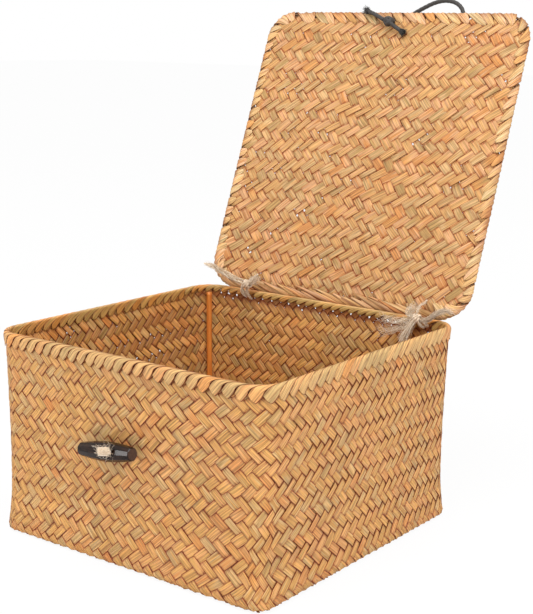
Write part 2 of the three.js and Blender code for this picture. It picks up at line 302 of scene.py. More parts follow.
def sheaths(
    name: str,
    points: Array,
    uv: Array | None = None,
    values: Mapping[str, Array] | None = None,
    keep: Array | None = None,
    smooth: bool = True,
) -> Piece:
    """Makes many closed ribbons or tubes as one object.

    A face joins two neighbours round a section with the same two one sample further on, and one
    face closes each end.

    Args:
        name: Name of the object.
        points: Millimetres, numbered by strip, sample, place round the section, and axis.
        uv: Map coordinates in metres, numbered the same way.
        values: Named numbers, in that shape or one that spreads to it.
        keep: Which samples of each strip are made: one unbroken run per strip.
        smooth: Whether the faces are shaded smooth.

    Returns:
        The new object.
    """
    strips, samples, sides = points.shape[:3]
    if keep is None:
        keep = np.ones((strips, samples), bool)
    keep = keep & (keep.sum(1) > 2)[:, None]
    number = np.zeros((strips, samples, sides), np.int64)
    number[keep] = np.arange(keep.sum() * sides).reshape(-1, sides)
    band = keep[:, :-1] & keep[:, 1:]
    low, high = number[:, :-1][band], number[:, 1:][band]
    quads = np.stack([low, np.roll(low, -1, 1), np.roll(high, -1, 1), high], -1).reshape(-1, 4)
    used = np.nonzero(keep.any(1))[0]
    first = keep[used].argmax(1)
    last = samples - 1 - keep[used][:, ::-1].argmax(1)
    caps = np.concatenate([number[used, first][:, ::-1], number[used, last]])
    loops = np.concatenate([quads.ravel(), caps.ravel()])
    starts = np.concatenate([np.arange(len(quads)) * 4, quads.size + np.arange(len(caps)) * sides])
    spread = {}
    for key, numbers in (values or {}).items():
        spread[key] = np.broadcast_to(numbers, number.shape)[keep].ravel()
    return mesh_object(
        name,
        points[keep].reshape(-1, 3),
        loops,
        starts,
        None if uv is None else uv[keep].reshape(-1, 2),
        spread,
        smooth,
    )


def dress(
    piece: Piece, material: Material, body: str, replaced: tuple[str, ...] = ()
) -> None:
    """Gives a piece its finish and fixes it to the frame.

    Args:
        piece: The piece.
        material: Its finish.
        body: Body that it rides on.
        replaced: CAD nodes that it stands for.
    """
    piece.data.materials.clear()
    piece.data.materials.append(material)
    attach(piece, body)
    if replaced:
        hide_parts(*replaced)
    LOG.info("%s: %d faces on %s", piece.name, len(piece.data.polygons), body)


def fade(values: Array, start: float, length: float) -> Array:
    """Rises from 0 at the start to 1 at a length beyond it, or before it where that is negative."""
    return np.clip((values - start) / length, 0, 1)


def bell(values: Array, middle: float, width: float) -> Array:
    """A bell curve: 1 at its middle and 1/e at its width to either side."""
    return np.exp(-(((values - middle) / width) ** 2))


def strip_map(rng: np.random.Generator, length: Array, across: Array) -> Array:
    """Lays the map of many strips, each from a random start.

    Args:
        rng: Source of the random numbers.
        length: Millimetres along each strip at each sample.
        across: Millimetres across it at each point of its section.

    Returns:
        Map coordinates in metres, numbered by strip, sample, place round the section, and axis.
    """
    start = rng.uniform(0, 40, (len(across), 1, 1))
    along = np.broadcast_to(length[..., None], across.shape) * MM + start
    return np.stack([along, across * MM + 3 * start], -1)


def drift(rng: np.random.Generator, count: int, along: Array, waves: tuple[float, ...]) -> Array:
    """Slow random change along each strip.

    The sum of one sine per wavelength, each with its own random phase and size, divided so that
    it mostly stays between -1 and 1.

    Args:
        rng: Source of the random numbers.
        count: Number of strips.
        along: Place along the strip, the same for all strips or one row each.
        waves: Wavelengths, in the unit of along.

    Returns:
        One row per strip and one column per place.
    """
    total = np.zeros((count, along.shape[-1]))
    for wave in waves:
        phase = rng.uniform(0, 2 * math.pi, (count, 1))
        size = rng.uniform(0.5, 1.2, (count, 1))
        total += size * np.sin(2 * math.pi * along / wave + phase)
    return total / len(waves)


# Surfaces that the strips lie on


class Outline:
    """A rectangle with rounded corners, followed anticlockwise from the middle of its front side.

    The way round is nine stretches: straight ones and quarter circles in turn. On each, a place is
    the centre of a corner circle, which slides along the straight ones, plus the radius in a
    direction, which turns along the quarter circles.
    """

    CENTRES = np.array(
        [[0, -1], [1, -1], [1, -1], [1, 1], [1, 1], [-1, 1], [-1, 1], [-1, -1], [-1, -1], [0, -1]]
    )
    TURNS = np.radians([-90, -90, 0, 0, 90, 90, 180, 180, 270, 270])

    def __init__(self, half_x: float, half_y: float, radius: float) -> None:
        """Sets the outline and measures its stretches.

        Args:
            half_x: Half its width in millimetres.
            half_y: Half its depth.
            radius: Its corner radius.
        """
        self.half_x, self.half_y, self.radius = half_x, half_y, radius
        straight_x, straight_y = half_x - radius, half_y - radius
        quarter = math.pi / 2 * radius
        lengths = [straight_x, quarter, 2 * straight_y, quarter, 2 * straight_x, quarter]
        lengths += [2 * straight_y, quarter, straight_x]
        self.ends = np.concatenate([[0], np.cumsum(lengths)])
        self.length = float(self.ends[-1])

    def place(
        self, station: Array, half_x: Array, half_y: Array, radius: Array
    ) -> tuple[Array, Array]:
        """Finds points on an outline that has the same stations but other sizes.

        Args:
            station: Millimetres round the outline by which stations are counted.
            half_x: Half the width of the outline at each point.
            half_y: Half the depth.
            radius: Corner radius.

        Returns:
            X and Y of the points.
        """
        station = np.mod(station, self.length)
        leg = np.clip(np.searchsorted(self.ends, station, "right") - 1, 0, len(self.TURNS) - 2)
        share = (station - self.ends[leg]) / (self.ends[leg + 1] - self.ends[leg])
        centre = self.CENTRES[leg] + (self.CENTRES[leg + 1] - self.CENTRES[leg]) * share[..., None]
        turn = self.TURNS[leg] + (self.TURNS[leg + 1] - self.TURNS[leg]) * share
        x = centre[..., 0] * (half_x - radius) + radius * np.cos(turn)
        y = centre[..., 1] * (half_y - radius) + radius * np.sin(turn)
        return x, y

    def inside(self, station: Array, inset: Array) -> tuple[Array, Array]:
        """X and Y of points that lie inside the outline by an inset."""
        return self.place(station, self.half_x - inset, self.half_y - inset, self.radius - inset)


@dataclass(frozen=True)
class BasketShape:
    """Sizes of the basket, as in the frame: rim, waist, foot and wall, in millimetres."""

    half_width: float = 135
    half_depth: float = 131
    rim_radius: float = 24
    foot_radius: float = 15
    side_batter: float = 3.2
    front_batter: float = 1.8
    waist: float = 3
    edge_bend: float = 4
    wall: float = 3
    border_inset: float = 1.9
    border_foot: float = 150

    HEIGHTS = (0, 0.08, 0.2, 0.35, 0.55, 0.8, 1)
    SPREADS = (0, 0.05, 0.15, 0.35, 0.6, 0.9, 1)
    WAISTS = (0, 0.55, 1, 1, 0.8, 0.3, 0)

    @property
    def rim(self) -> Outline:
        """The outline over the border, by which stations are counted."""
        return Outline(self.half_width, self.half_depth, self.rim_radius)

    def sizes(self, height: Array) -> tuple[Array, Array, Array]:
        """Finds the size of the wall's outer face.

        Args:
            height: Millimetres above the underside.

        Returns:
            Half the width, half the depth and the corner radius at each height.
        """
        share = fade(height, self.edge_bend, self.border_foot - self.edge_bend)
        spread = np.interp(share, self.HEIGHTS, self.SPREADS)
        drawn = self.waist * np.interp(share, self.HEIGHTS, self.WAISTS)
        inset_x = self.side_batter + (self.border_inset - self.side_batter) * spread + drawn
        inset_y = self.front_batter + (self.border_inset - self.front_batter) * spread + drawn
        top_radius = self.rim_radius - self.border_inset
        radius = self.foot_radius + (top_radius - self.foot_radius) * spread - drawn
        return self.half_width - inset_x, self.half_depth - inset_y, radius


SHAPE = BasketShape()


class Ground:
    """A surface that a plait lies on, with even rows that are counted from a phase."""

    row: float
    phase: float = 0.0

    def height_of(self, row: Array) -> Array:
        """Height of a row."""
        return self.phase + row * self.row

    def row_of(self, height: Array) -> Array:
        """Row at a height."""
        return (height - self.phase) / self.row


@dataclass
class WallGround(Ground):
    """The middle surface of the basket's wall, from under the foot to the rim.

    Stations run round the rim. Heights follow the wall's profile: upright above the bend, a
    quarter circle round the bend, and flat below it. Strips are numbered by the local pitch, which
    is wider at the near corner than at the far ones. The phase of the rows lets a falling band end
    under the border.
    """

    strips: int = 110
    row: float = 9.05
    phase: float = -7.7
    rear_reach: float = 128
    open_height: float = 155.6
    left_station: float = 690
    left_height: float = 118
    calm_above: float = 152
    least_radius: float = 0.5

    PITCH_STATIONS = (0, 100, 130, 165, 255, 340, 375, 420, 511, 600, 641, 690, 767, 850, 893, 930)
    PITCHES = (9.3, 10.9, 11.4, 10.5, 9.2, 7.6, 7.4, 8.8, 9.2, 9.8, 9.8, 9.9, 9.2, 8.0, 8.0, 8.5)

    def __post_init__(self) -> None:
        """Counts the strips round the box."""
        self.rim = SHAPE.rim
        self.stations = np.linspace(0, self.rim.length, 2048)
        knots = np.append(self.PITCH_STATIONS, self.rim.length)
        pitch = np.interp(self.stations, knots, np.append(self.PITCHES, self.PITCHES[0]))
        counted = np.cumsum(np.diff(self.stations) * 2 / (pitch[1:] + pitch[:-1]))
        self.numbers = np.concatenate([[0], counted]) * self.strips / counted[-1]

    def station_of(self, number: Array) -> Array:
        """Finds where a strip starts.

        Args:
            number: Strip numbers, which may lie beyond one turn round the box.

        Returns:
            Their stations.
        """
        turns = np.floor(number / self.strips)
        within = np.interp(number - turns * self.strips, self.numbers, self.stations)
        return within + turns * self.rim.length

    def number_of(self, station: Array) -> Array:
        """Finds the strip number at a station.

        Args:
            station: Stations, which may lie beyond one turn round the box.

        Returns:
            The strip numbers there.
        """
        turns = np.floor(station / self.rim.length)
        within = np.interp(station - turns * self.rim.length, self.stations, self.numbers)
        return within + turns * self.strips

    def fullness(self, station: Array, height: Array) -> Array:
        """Finds how wide strips are: less where light comes in.

        That is in waves under the rear rim, and in one patch of the left wall.

        Args:
            station: Millimetres round the rim.
            height: Millimetres along the wall's profile.

        Returns:
            Share of its width that a strip keeps.
        """
        place = np.mod(station, self.rim.length)
        around = np.abs(place - self.rim.length / 2)
        rear = fade(around, self.rear_reach, -10) * (0.62 + 0.38 * np.sin(1.7 * station))
        loose = 0.6 * rear * bell(height, self.open_height, 3)
        left = bell(place, self.left_station, 60) * bell(height, self.left_height, 16)
        return 1 - loose - 0.13 * left

    def place(self, station: Array, height: Array, lift: Array) -> Array:
        """Finds points on the wall.

        The hand-plaited rows wander: stations and heights are shifted by slow sines that close
        round the box and fade out at the rim and the foot.

        Args:
            station: Millimetres round the rim.
            height: Millimetres along the wall's profile.
            lift: Millimetres out of the middle surface.

        Returns:
            Points in millimetres, with the axes last.
        """
        turn = 2 * math.pi * station / self.rim.length
        calm = fade(height, self.calm_above, -25) * fade(height, 0, 12)
        wander = np.sin(5 * turn + height / 31) + 0.6 * np.sin(13 * turn - height / 17 + 2)
        station = station + 0.8 * calm * wander
        wave = np.sin(7 * turn + height / 40 + 1) + 0.7 * np.sin(17 * turn + height / 13)
        height = height + 0.55 * calm * wave
        middle = SHAPE.edge_bend - SHAPE.wall / 2
        flat_from = SHAPE.edge_bend - middle * math.pi / 2
        bend = np.clip((SHAPE.edge_bend - height) / middle, 0, math.pi / 2)
        inset = middle * (1 - np.cos(bend)) + np.clip(flat_from - height, 0, None)
        z = np.where(height > SHAPE.edge_bend, height, SHAPE.edge_bend - middle * np.sin(bend))
        half_x, half_y, radius = SHAPE.sizes(z)
        inset = inset + SHAPE.wall / 2 - lift * np.cos(bend)
        radius = np.maximum(radius - inset, self.least_radius)
        x, y = self.rim.place(station, half_x - inset, half_y - inset, radius)
        return np.stack([x, y, z - lift * np.sin(bend)], -1)


@dataclass(frozen=True)
class FlatGround(Ground):
    """A flat mat: stations run along X from its middle, heights across it from its lower edge."""

    half_width: float
    depth: float
    radius: float
    pitch: float
    row: float
    wander: float
    skew: float = 0.0

    @property
    def numbers(self) -> Array:
        """Counts the strips of a family.

        Returns:
            Numbers of all the strips that cross the mat, and a few more.
        """
        reach = (self.half_width + self.skew * self.depth / 2) / self.pitch
        most = math.ceil(reach + self.depth / self.row + 2)
        return np.arange(-most, most, dtype=float)

    def station_of(self, number: Array) -> Array:
        """Station of a strip number."""
        return number * self.pitch

    def number_of(self, station: Array) -> Array:
        """Strip number at a station."""
        return station / self.pitch

    def fullness(self, station: Array, height: Array) -> Array:
        """Share of its width that a strip keeps, the same all over."""
        return np.ones_like(station)

    def place(self, station: Array, height: Array, lift: Array) -> Array:
        """Finds points on the mat, whose rows wander by slow sines.

        Args:
            station: Millimetres along the mat's width.
            height: Millimetres across it.
            lift: Millimetres above its middle surface.

        Returns:
            Width, depth and lift in millimetres, with the axes last.
        """
        across = self.wander * (np.sin(height / 23 + station / 41) + 0.6 * np.sin(height / 11 + 3))
        along = self.wander * (np.sin(station / 27 + height / 53 + 1) + 0.6 * np.sin(station / 12))
        leant = station + across + self.skew * (height - self.depth / 2)
        return np.stack([leant, height + along, lift + 0 * station], -1)

    def inside(self, points: Array, inset: float) -> Array:
        """Finds which parts of strips lie inside the mat's rounded outline.

        The distance to a rounded rectangle is how far a point lies beyond the corner centres, less
        the corner radius. It is taken at the middle of each section.

        Args:
            points: Millimetres, numbered by strip, sample, place round the section, and axis.
            inset: Millimetres by which the outline is drawn in.

        Returns:
            Whether each sample of each strip lies inside.
        """
        middle = points.mean(-2)
        radius = self.radius - inset
        beyond_x = np.abs(middle[..., 0]) - (self.half_width - inset - radius)
        beyond_y = np.abs(middle[..., 1] - self.depth / 2) - (self.depth / 2 - inset - radius)
        outer = np.hypot(np.maximum(beyond_x, 0), np.maximum(beyond_y, 0))
        return outer + np.minimum(np.maximum(beyond_x, beyond_y), 0) < radius


# Plaiting


UPPER_SECTION = ((-1, 0), (-0.93, 0.85), (-0.74, 1), (0.74, 1), (0.93, 0.85), (1, 0))
LOWER_SECTION = ((0.93, -0.85), (0.74, -1), (-0.74, -1), (-0.93, -0.85))
StripArrays = tuple[Array, Array, dict[str, Array]]


@dataclass(frozen=True)
class Plait:
    """How strips are plaited: over two, under two, each row shifted by one.

    A strip's section is a closed line of points: a place across the strip and a height, both
    as shares of their half. Its edges are rounded off.
    """

    fill: float = 1.08
    uneven: float = 0.09
    half_thickness: float = 0.25
    lift: float = 0.54
    lap: float = 0.15
    bias: float = 0.0
    stray: float = 0.5
    roll: float = 0.2
    steepness: float = 4.2
    odd_share: float = 0.2
    section: tuple[tuple[float, float], ...] = (*UPPER_SECTION, (0.7, -1), (-0.7, -1))

    PERIOD = 4
    PATTERN = np.array([-0.5, -0.34, -0.14, 0.5, 1.14, 1.34, 1.5, 1.66, 1.86, 2.5, 3.14, 3.34])
    ROW_STEP = 0.05

    def samples(self, low: float, high: float) -> Array:
        """Spaces places along a strip, closer together where it dives.

        Args:
            low: First place, counted in crossings.
            high: Last place.

        Returns:
            All the places, in order.
        """
        first, last = math.floor(low / self.PERIOD), math.ceil(high / self.PERIOD)
        places = (np.arange(first, last + 1)[:, None] * self.PERIOD + self.PATTERN).ravel()
        inner = places[(places > low + 0.1) & (places < high - 0.1)]
        return np.concatenate([[low], inner, [high]])

    def strips(
        self,
        ground: WallGround | FlatGround,
        family: Family,
        numbers: Array,
        rows: tuple[float, float],
        seed: int,
    ) -> StripArrays:
        """Works out all the strips of one family.

        A rising strip keeps its number less its row, a falling one its number plus its row. The
        lift is a wave of the crossing number, squeezed towards full height by a hyperbolic
        tangent, and the crossing number is read at each point of the section, so a strip dives
        along the edge of the strip that covers it.

        Args:
            ground: Surface that the strips lie on.
            family: Way they lean.
            numbers: Number of each strip.
            rows: Lowest and highest row.
            seed: Seed for their unevenness.

        Returns:
            Points, map coordinates and named values, one of which is the height on the ground.
        """
        rng = np.random.default_rng(seed)
        sign = family.value
        count = len(numbers)
        crossing = self.samples(2 * rows[0], 2 * rows[1])
        row = np.broadcast_to(crossing / 2, (count, len(crossing)))
        station = ground.station_of(numbers[:, None] + sign * row)
        height = ground.height_of(row)
        step = self.ROW_STEP
        ahead = ground.station_of(numbers[:, None] + sign * (row + step)) - station
        up = ground.row * step
        size = np.hypot(ahead, up)
        side_station, side_height = -up / size, ahead / size
        spacing = np.abs(ahead) * up / (step * size)
        length = np.cumsum(np.diff(crossing) / 2 / step * size[:, 1:], 1)
        length = np.concatenate([np.zeros((count, 1)), length], 1)
        own_width = 1 + self.uneven * rng.normal(0, 1, (count, 1)).clip(-2.2, 0.8)
        own_width = own_width + 0.7 * self.uneven * drift(rng, count, length, (23, 61))
        width = self.fill * spacing * ground.fullness(station, height) * own_width
        shift = self.stray * drift(rng, count, length, (37, 71, 140))
        share, crown = np.array(self.section, float).T
        across = share * width[..., None] / 2
        offset = across + shift[..., None]
        place_s = station[..., None] + offset * side_station[..., None]
        place_h = height[..., None] + offset * side_height[..., None]
        number, point_row = ground.number_of(place_s), ground.row_of(place_h)
        meet = sign * (number - numbers[:, None, None]) + point_row
        wave = np.cos((meet - 0.5) * math.pi / 2) * sign
        top = np.tanh(self.steepness * (wave + self.bias * sign)) / math.tanh(self.steepness)
        roll = self.roll * drift(rng, count, length, (19, 43))[..., None] * share
        strength = 1 + 0.18 * drift(rng, count, length, (29, 67))[..., None]
        lift = top * self.lift * strength + crown * self.half_thickness
        lift = lift + roll + self.lap * share
        points = ground.place(place_s, place_h, lift)
        uv = strip_map(rng, length, across)
        tone = rng.beta(2, 2, (count, 1)) + 0.3 * drift(rng, count, length, (26, 47, 83))
        is_odd = rng.uniform(0, 1, (count, 1)) < self.odd_share
        odd = is_odd * rng.uniform(0.3, 0.85, (count, 1))
        odd = odd * np.clip(0.2 + 1.6 * drift(rng, count, length, (44, 93)), 0, 1)
        values = {
            "tone": tone[..., None],
            "odd": odd[..., None],
            "edge": np.abs(share),
            "inner": 0.5 - 0.5 * np.sign(crown),
            # Where a strip dives under its neighbours; the finish paints shade there.
            "dive": bell(top, 0, 0.8),
            "height": place_h,
        }
        return points, uv, values

    def panel(
        self, ground: FlatGround, family: Family, inset: float, seed: int
    ) -> tuple[Array, Array, dict[str, Array], Array]:
        """Works out one family of strips of a flat mat, whose better side is below.

        Args:
            ground: The mat.
            family: Way the strips lean.
            inset: Millimetres by which the strips end before the mat's outline.
            seed: Seed for their unevenness.

        Returns:
            Points, map coordinates, named values, and which samples of each strip are made.
        """
        rows = (0.0, ground.depth / ground.row)
        points, uv, values = self.strips(ground, family, ground.numbers, rows, seed)
        del values["height"]
        values["inner"] = 1 - values["inner"]
        return points, uv, values, ground.inside(points, inset)


@dataclass(frozen=True)
class Hem:
    """Strips folded round an edge one after the other, each lapping the next a little.

    The fold is a profile across the edge, given as insets and heights and followed by its length.
    Each strip is carried along it while it slides round the outline, faster over the top of the
    edge than on its sides, like the strands of a rope.
    """

    insets: tuple[float, ...]
    heights: tuple[float, ...]
    rates: tuple[float, ...]
    anchor: float
    fill: float
    half_thickness: float
    lap: float
    end_taper: float
    start: float = 0.0
    steps: int = 26
    inner_from: float = 0.62
    odd_share: float = 0.12

    ACROSS = np.array([-1, -0.8, 0, 0.8, 1, 0.8, 0, -0.8])
    CROWN = np.array([0, 0.85, 1, 0.85, 0, -0.85, -1, -0.85])

    def profile(self) -> dict[str, Array]:
        """Follows the profile.

        Returns:
            Along its length: inset and height, smoothed by a moving average, the outward
            direction's two parts, the rate of sliding and the slide so far.
        """
        knot_in, knot_up = np.array(self.insets, float), np.array(self.heights, float)
        knots = np.concatenate([[0], np.cumsum(np.hypot(np.diff(knot_in), np.diff(knot_up)))])
        length = np.linspace(0, knots[-1], 160)
        window = np.hanning(11)[1:-1]
        window /= window.sum()
        lines = []
        for knot_line in (knot_in, knot_up, np.array(self.rates, float)):
            line = np.interp(length, knots, knot_line)
            before, after = 2 * line[0] - line[4:0:-1], 2 * line[-1] - line[-2:-6:-1]
            lines.append(np.convolve(np.concatenate([before, line, after]), window, "valid"))
        inset, height, rate = lines
        slope_in, slope_up = np.gradient(inset), np.gradient(height)
        size = np.hypot(slope_in, slope_up)
        slide = np.concatenate([[0], np.cumsum((rate[1:] + rate[:-1]) / 2 * length[1])])
        return {
            "length": length,
            "inset": inset,
            "height": height,
            "out_in": -slope_up / size,
            "out_up": slope_in / size,
            "rate": rate,
            "slide": slide - np.interp(self.anchor * length[-1], length, slide),
        }

    def strips(
        self, station: Array, pitch: Array, slant: Array, reach: Array, taper: Array, seed: int
    ) -> tuple[Array, Array, Array, Array, dict[str, Array]]:
        """Works out the strips.

        A strip starts a quarter as wide as it gets, widens with the square of its length, and
        ends at four tenths of its width.

        Args:
            station: Where each strip meets the profile's anchor.
            pitch: Distance to the next strip.
            slant: Factor on each strip's rate of sliding.
            reach: Share of the profile's length that each strip follows.
            taper: Length over which each strip widens from its first end.
            seed: Seed for the unevenness.

        Returns:
            Stations, insets and heights of all the points, their map coordinates, and named
            values.
        """
        rng = np.random.default_rng(seed)
        line = self.profile()
        length, count = line["length"], len(station)
        total = (reach * (length[-1] - self.start))[:, None]
        along = np.linspace(0, 1, self.steps)[None] ** 1.25 * total
        place = along + self.start
        rate = np.interp(place, length, line["rate"]) * slant[:, None]
        size = np.hypot(rate, 1)
        narrow = np.clip(0.25 + 0.75 * (along / taper[:, None]) ** 2, 0, 1)
        narrow = narrow * np.clip(0.4 + 0.6 * (total - along) / self.end_taper, 0, 1)
        own_width = 1 + rng.normal(0, 0.06, (count, 1)) + 0.06 * drift(rng, count, along, (17, 29))
        width = self.fill * pitch[:, None] / size * narrow * own_width
        across = self.ACROSS * width[..., None] / 2
        slide = np.interp(place, length, line["slide"]) * slant[:, None]
        slide = station[:, None] + slide + 0.4 * drift(rng, count, along, (19, 41))
        place_s = slide[..., None] - across / size[..., None]
        place_q = np.clip(place[..., None] + across * (rate / size)[..., None], 0, length[-1])
        lift = self.CROWN * self.half_thickness + self.lap * self.ACROSS * narrow[..., None]
        lift = lift + 0.12 * drift(rng, count, along, (13, 31))[..., None] * self.ACROSS
        place_in, place_up, out_in, out_up = (
            np.interp(place_q, length, line[key]) for key in ("inset", "height", "out_in", "out_up")
        )
        uv = strip_map(rng, np.cumsum(size * total / (self.steps - 1), 1), across)
        tone = rng.beta(2, 2, (count, 1)) + 0.15 * drift(rng, count, along, (23, 47))
        is_odd = rng.uniform(0, 1, (count, 1)) < self.odd_share
        odd = is_odd * rng.uniform(0.4, 0.9, (count, 1))
        values = {
            "tone": tone[..., None],
            "odd": odd[..., None],
            "edge": np.abs(self.ACROSS),
            "inner": (place_q > self.inner_from * length[-1]) * 1.0,
            # Painted shade at each strip's first end, where it leaves the plait below.
            "dive": 0.1 * bell(along, 0, 2)[..., None],
        }
        return place_s, place_in + lift * out_in, place_up + lift * out_up, uv, values


# Finishes


@dataclass(frozen=True)
class SedgeFinish:
    """Dried sedge, split, flattened and plaited by hand.

    To the eye it is matt straw to tan, with fine lines of fibre along each strip, here and there
    a strip that dried orange or olive, and brown-red skins along its edges. Painted shade darkens
    a strip where it dives under its neighbours, and where the weave runs in under the rim fold and
    the bead; on each wall inside the box, painted light makes one family of strips lighter than
    the other. Its back, which faces into the box, is more olive.
    """

    name: str
    tones: tuple[tuple[float, str], ...]
    odd: str
    back: str
    crease: str = "#80371A"
    fibre_mm: float = 1.0  # real fibres are about 0.1 mm; drawn coarser so that they show
    streak_mm: float = 2.6
    run_mm: float = 34
    patch_mm: float = 45
    streak_tone: float = 1.3
    patch_tone: float = 0.7
    roughness: float = 0.58
    specular: float = 0.32
    back_share: float = 0.75
    edge_power: float = 9.0
    edge_wear: float = 1.7
    dive_shade_and_scorch: float = 0.85
    streak_wear: float = 1.9
    shade: str = "#7A3410"

    def build(self) -> Material:
        """Makes the material.

        Returns:
            The material, which reads the strip map and the strips' named values.
        """
        paint = Paint(self.name)
        formula, value, uv = paint.formula, paint.value, paint.strip_map()
        fibre = paint.grain(uv, (self.run_mm, self.fibre_mm, METRE), 2.0, 0.6)
        streak = paint.grain(uv, (self.run_mm * 1.6, self.streak_mm, METRE), 2.0, 0.6)
        split = paint.grain(uv, (self.run_mm * 0.7, 1.0, METRE), 1.0, 0.6)
        blotches = {"Vector": paint.place(), "Scale": 1 / (self.patch_mm * MM), "Detail": 2.0}
        patch = paint.add("TexNoise", blotches).outputs["Fac"]
        tone = value("tone")
        for noise, amount in ((streak, self.streak_tone), (patch, self.patch_tone)):
            tone = formula("MULTIPLY_ADD", formula("SUBTRACT", noise, 0.5), amount, tone)
        colour = paint.mix(value("odd"), paint.ramp(tone, self.tones), self.odd)
        # Crease colour: brown-red skins along the edges, painted shade where a strip dives under
        # its neighbours, scorch on the lid's hinge strips, and split lines.
        edge = formula("MULTIPLY", formula("POWER", value("edge"), self.edge_power), self.edge_wear)
        crease_share = formula("MULTIPLY_ADD", value("dive"), self.dive_shade_and_scorch, edge)
        crease_share = formula("MULTIPLY", crease_share, formula("MULTIPLY", streak, self.streak_wear))
        crease_share = formula("MAXIMUM", crease_share, paint.span(split, (0.58, 0.7), (0, 0.6)))
        colour = paint.mix(crease_share, colour, self.crease)
        # Fine fibre lines, made lighter or darker by the painted light on the inner faces of the
        # walls.
        lines = paint.span(fibre, (0.34, 0.64), (0.58, 1.23))
        lines = formula("MULTIPLY_ADD", lines, value("painted_light"), lines)
        grey = paint.add("CombineColor", {0: lines, 1: lines, 2: lines}).outputs[0]
        colour = paint.mix(1.0, colour, grey, "MULTIPLY")
        back = formula("MULTIPLY", value("inner"), self.back_share)
        colour = paint.mix(back, colour, self.back, "MULTIPLY")
        # Painted shade in the shade colour under the rim fold and the rear bead; on the lid's edge
        # the same mix gives random dark strips.
        shade_and_stain_share = formula("MULTIPLY", value("shade_and_stain"), formula("MULTIPLY_ADD", patch, 1.2, 0.45))
        inputs = {
            "Base Color": paint.mix(shade_and_stain_share, colour, self.shade),
            "Roughness": formula("MULTIPLY_ADD", fibre, 0.16, self.roughness - 0.08),
            "Normal": paint.bump(formula("MULTIPLY_ADD", streak, 1.6, fibre), 0.7, 0.4),
            "Specular IOR Level": self.specular,
        }
        return paint.done(inputs)


@dataclass(frozen=True)
class FibreFinish:
    """Spun fibre, such as jute twine or a waxed cotton cord.

    Jute is hairy and matt, beige with greyer and browner fibres. Waxed cotton is smoother and
    darker, with a soft shine along the turns of its braid.
    """

    name: str
    light: str
    dark: str
    run_mm: float
    width_mm: float
    roughness: float
    sheen: float

    def build(self) -> Material:
        """Makes the material.

        Returns:
            The material, with fibres drawn out along the strip map.
        """
        paint = Paint(self.name)
        noise = paint.grain(paint.strip_map(), (self.run_mm, self.width_mm, METRE), 3.0, 0.65)
        share = paint.formula("MULTIPLY_ADD", noise, 1.1, paint.value("tone"))
        inputs = {
            "Base Color": paint.mix(paint.span(share, (0.1, 0.9)), self.dark, self.light),
            "Roughness": self.roughness,
            "Normal": paint.bump(noise, 0.5, 0.25),
            "Sheen Weight": self.sheen,
        }
        return paint.done(inputs)


@dataclass(frozen=True)
class GrainFinish:
    """A smooth, polished natural rod: cane for the stakes, horn for the toggle, or drawn wire.

    The grain runs along the rod in long thin streaks.
    """

    name: str
    light: str
    dark: str
    axis: Axis
    grain_mm: float
    run_mm: float
    roughness: float
    metallic: float = 0.0
    coat: float = 0.0
    specular: float = 0.4

    def build(self) -> Material:
        """Makes the material.

        Returns:
            The material, with streaks drawn out along one axis of Object coordinates.
        """
        paint = Paint(self.name)
        sizes = tuple(self.run_mm if axis is self.axis else self.grain_mm for axis in Axis)
        noise = paint.grain(paint.place(), sizes, 3.0, 0.6)
        inputs = {
            "Base Color": paint.mix(paint.span(noise, (0.35, 0.7)), self.dark, self.light),
            "Roughness": self.roughness,
            "Normal": paint.bump(noise, 0.2, 0.1),
            "Metallic": self.metallic,
            "Coat Weight": self.coat,
            "Specular IOR Level": self.specular,
        }
        return paint.done(inputs)


WALL_SEDGE = SedgeFinish(
    "dried_sedge_plaited_wall",
    (
        (0.0, "#C29E60"),
        (0.2, "#DAB67C"),
        (0.4, "#D4A45C"),
        (0.6, "#E2AC62"),
        (0.8, "#E2AC6E"),
        (1.0, "#DE9E5A"),
    ),
    "#DE9048",
    "#ECEBD8",
    back_share=0.25,
)
BORDER_SEDGE = SedgeFinish(
    "dried_sedge_folded_rim",
    ((0.0, "#BE9C66"), (0.35, "#CCA46C"), (0.65, "#D4A66A"), (1.0, "#D4965E")),
    "#DC9652",
    "#E0DEB6",
)
LID_SEDGE = SedgeFinish(
    "dried_sedge_plaited_lid",
    (
        (0.0, "#BC9E68"),
        (0.2, "#DCBC8C"),
        (0.4, "#D2A86E"),
        (0.6, "#E2B478"),
        (0.8, "#E4B68C"),
        (1.0, "#DA9E62"),
    ),
    "#DA9A56",
    "#F6F0E0",
    crease="#96491F",
    edge_wear=1.1,
)
JUTE = FibreFinish(
    "jute_spun_twine", "#F6E6CE", "#B89878", run_mm=9, width_mm=0.35, roughness=0.9, sheen=0.3
)
CUT_JUTE = FibreFinish(
    "jute_cut_tuft", "#FCEEDA", "#E6CAA8", run_mm=9, width_mm=0.5, roughness=0.85, sheen=0.1
)
BRUSHED_JUTE = FibreFinish(
    "jute_brushed_out", "#FFF4E0", "#D8B68E", run_mm=9, width_mm=0.5, roughness=0.85, sheen=0.3
)
LOOP_CORD = FibreFinish(
    "cotton_waxed_cord", "#443F3B", "#131211", run_mm=1.6, width_mm=0.5, roughness=0.6, sheen=0
)
CANE = GrainFinish(
    "rattan_peeled_cane", "#DE8C3C", "#C26C28", Axis.Z, grain_mm=0.7, run_mm=30, roughness=0.45,
    coat=0.15,
)  # fmt: skip
HORN = GrainFinish(
    "horn_polished", "#35231B", "#130C09", Axis.X, grain_mm=1.2, run_mm=16, roughness=0.16,
    specular=0.17,
)  # fmt: skip
SAWN_HORN = GrainFinish(
    "horn_sawn_end", "#5A4236", "#33241D", Axis.Y, grain_mm=0.5, run_mm=0.5, roughness=0.7
)
WIRE = GrainFinish(
    "steel_drawn_browned", "#8A6A4A", "#6A4E36", Axis.X, grain_mm=0.6, run_mm=12, roughness=0.5,
    metallic=0.5,
)  # fmt: skip


# Twine, cords and fibres

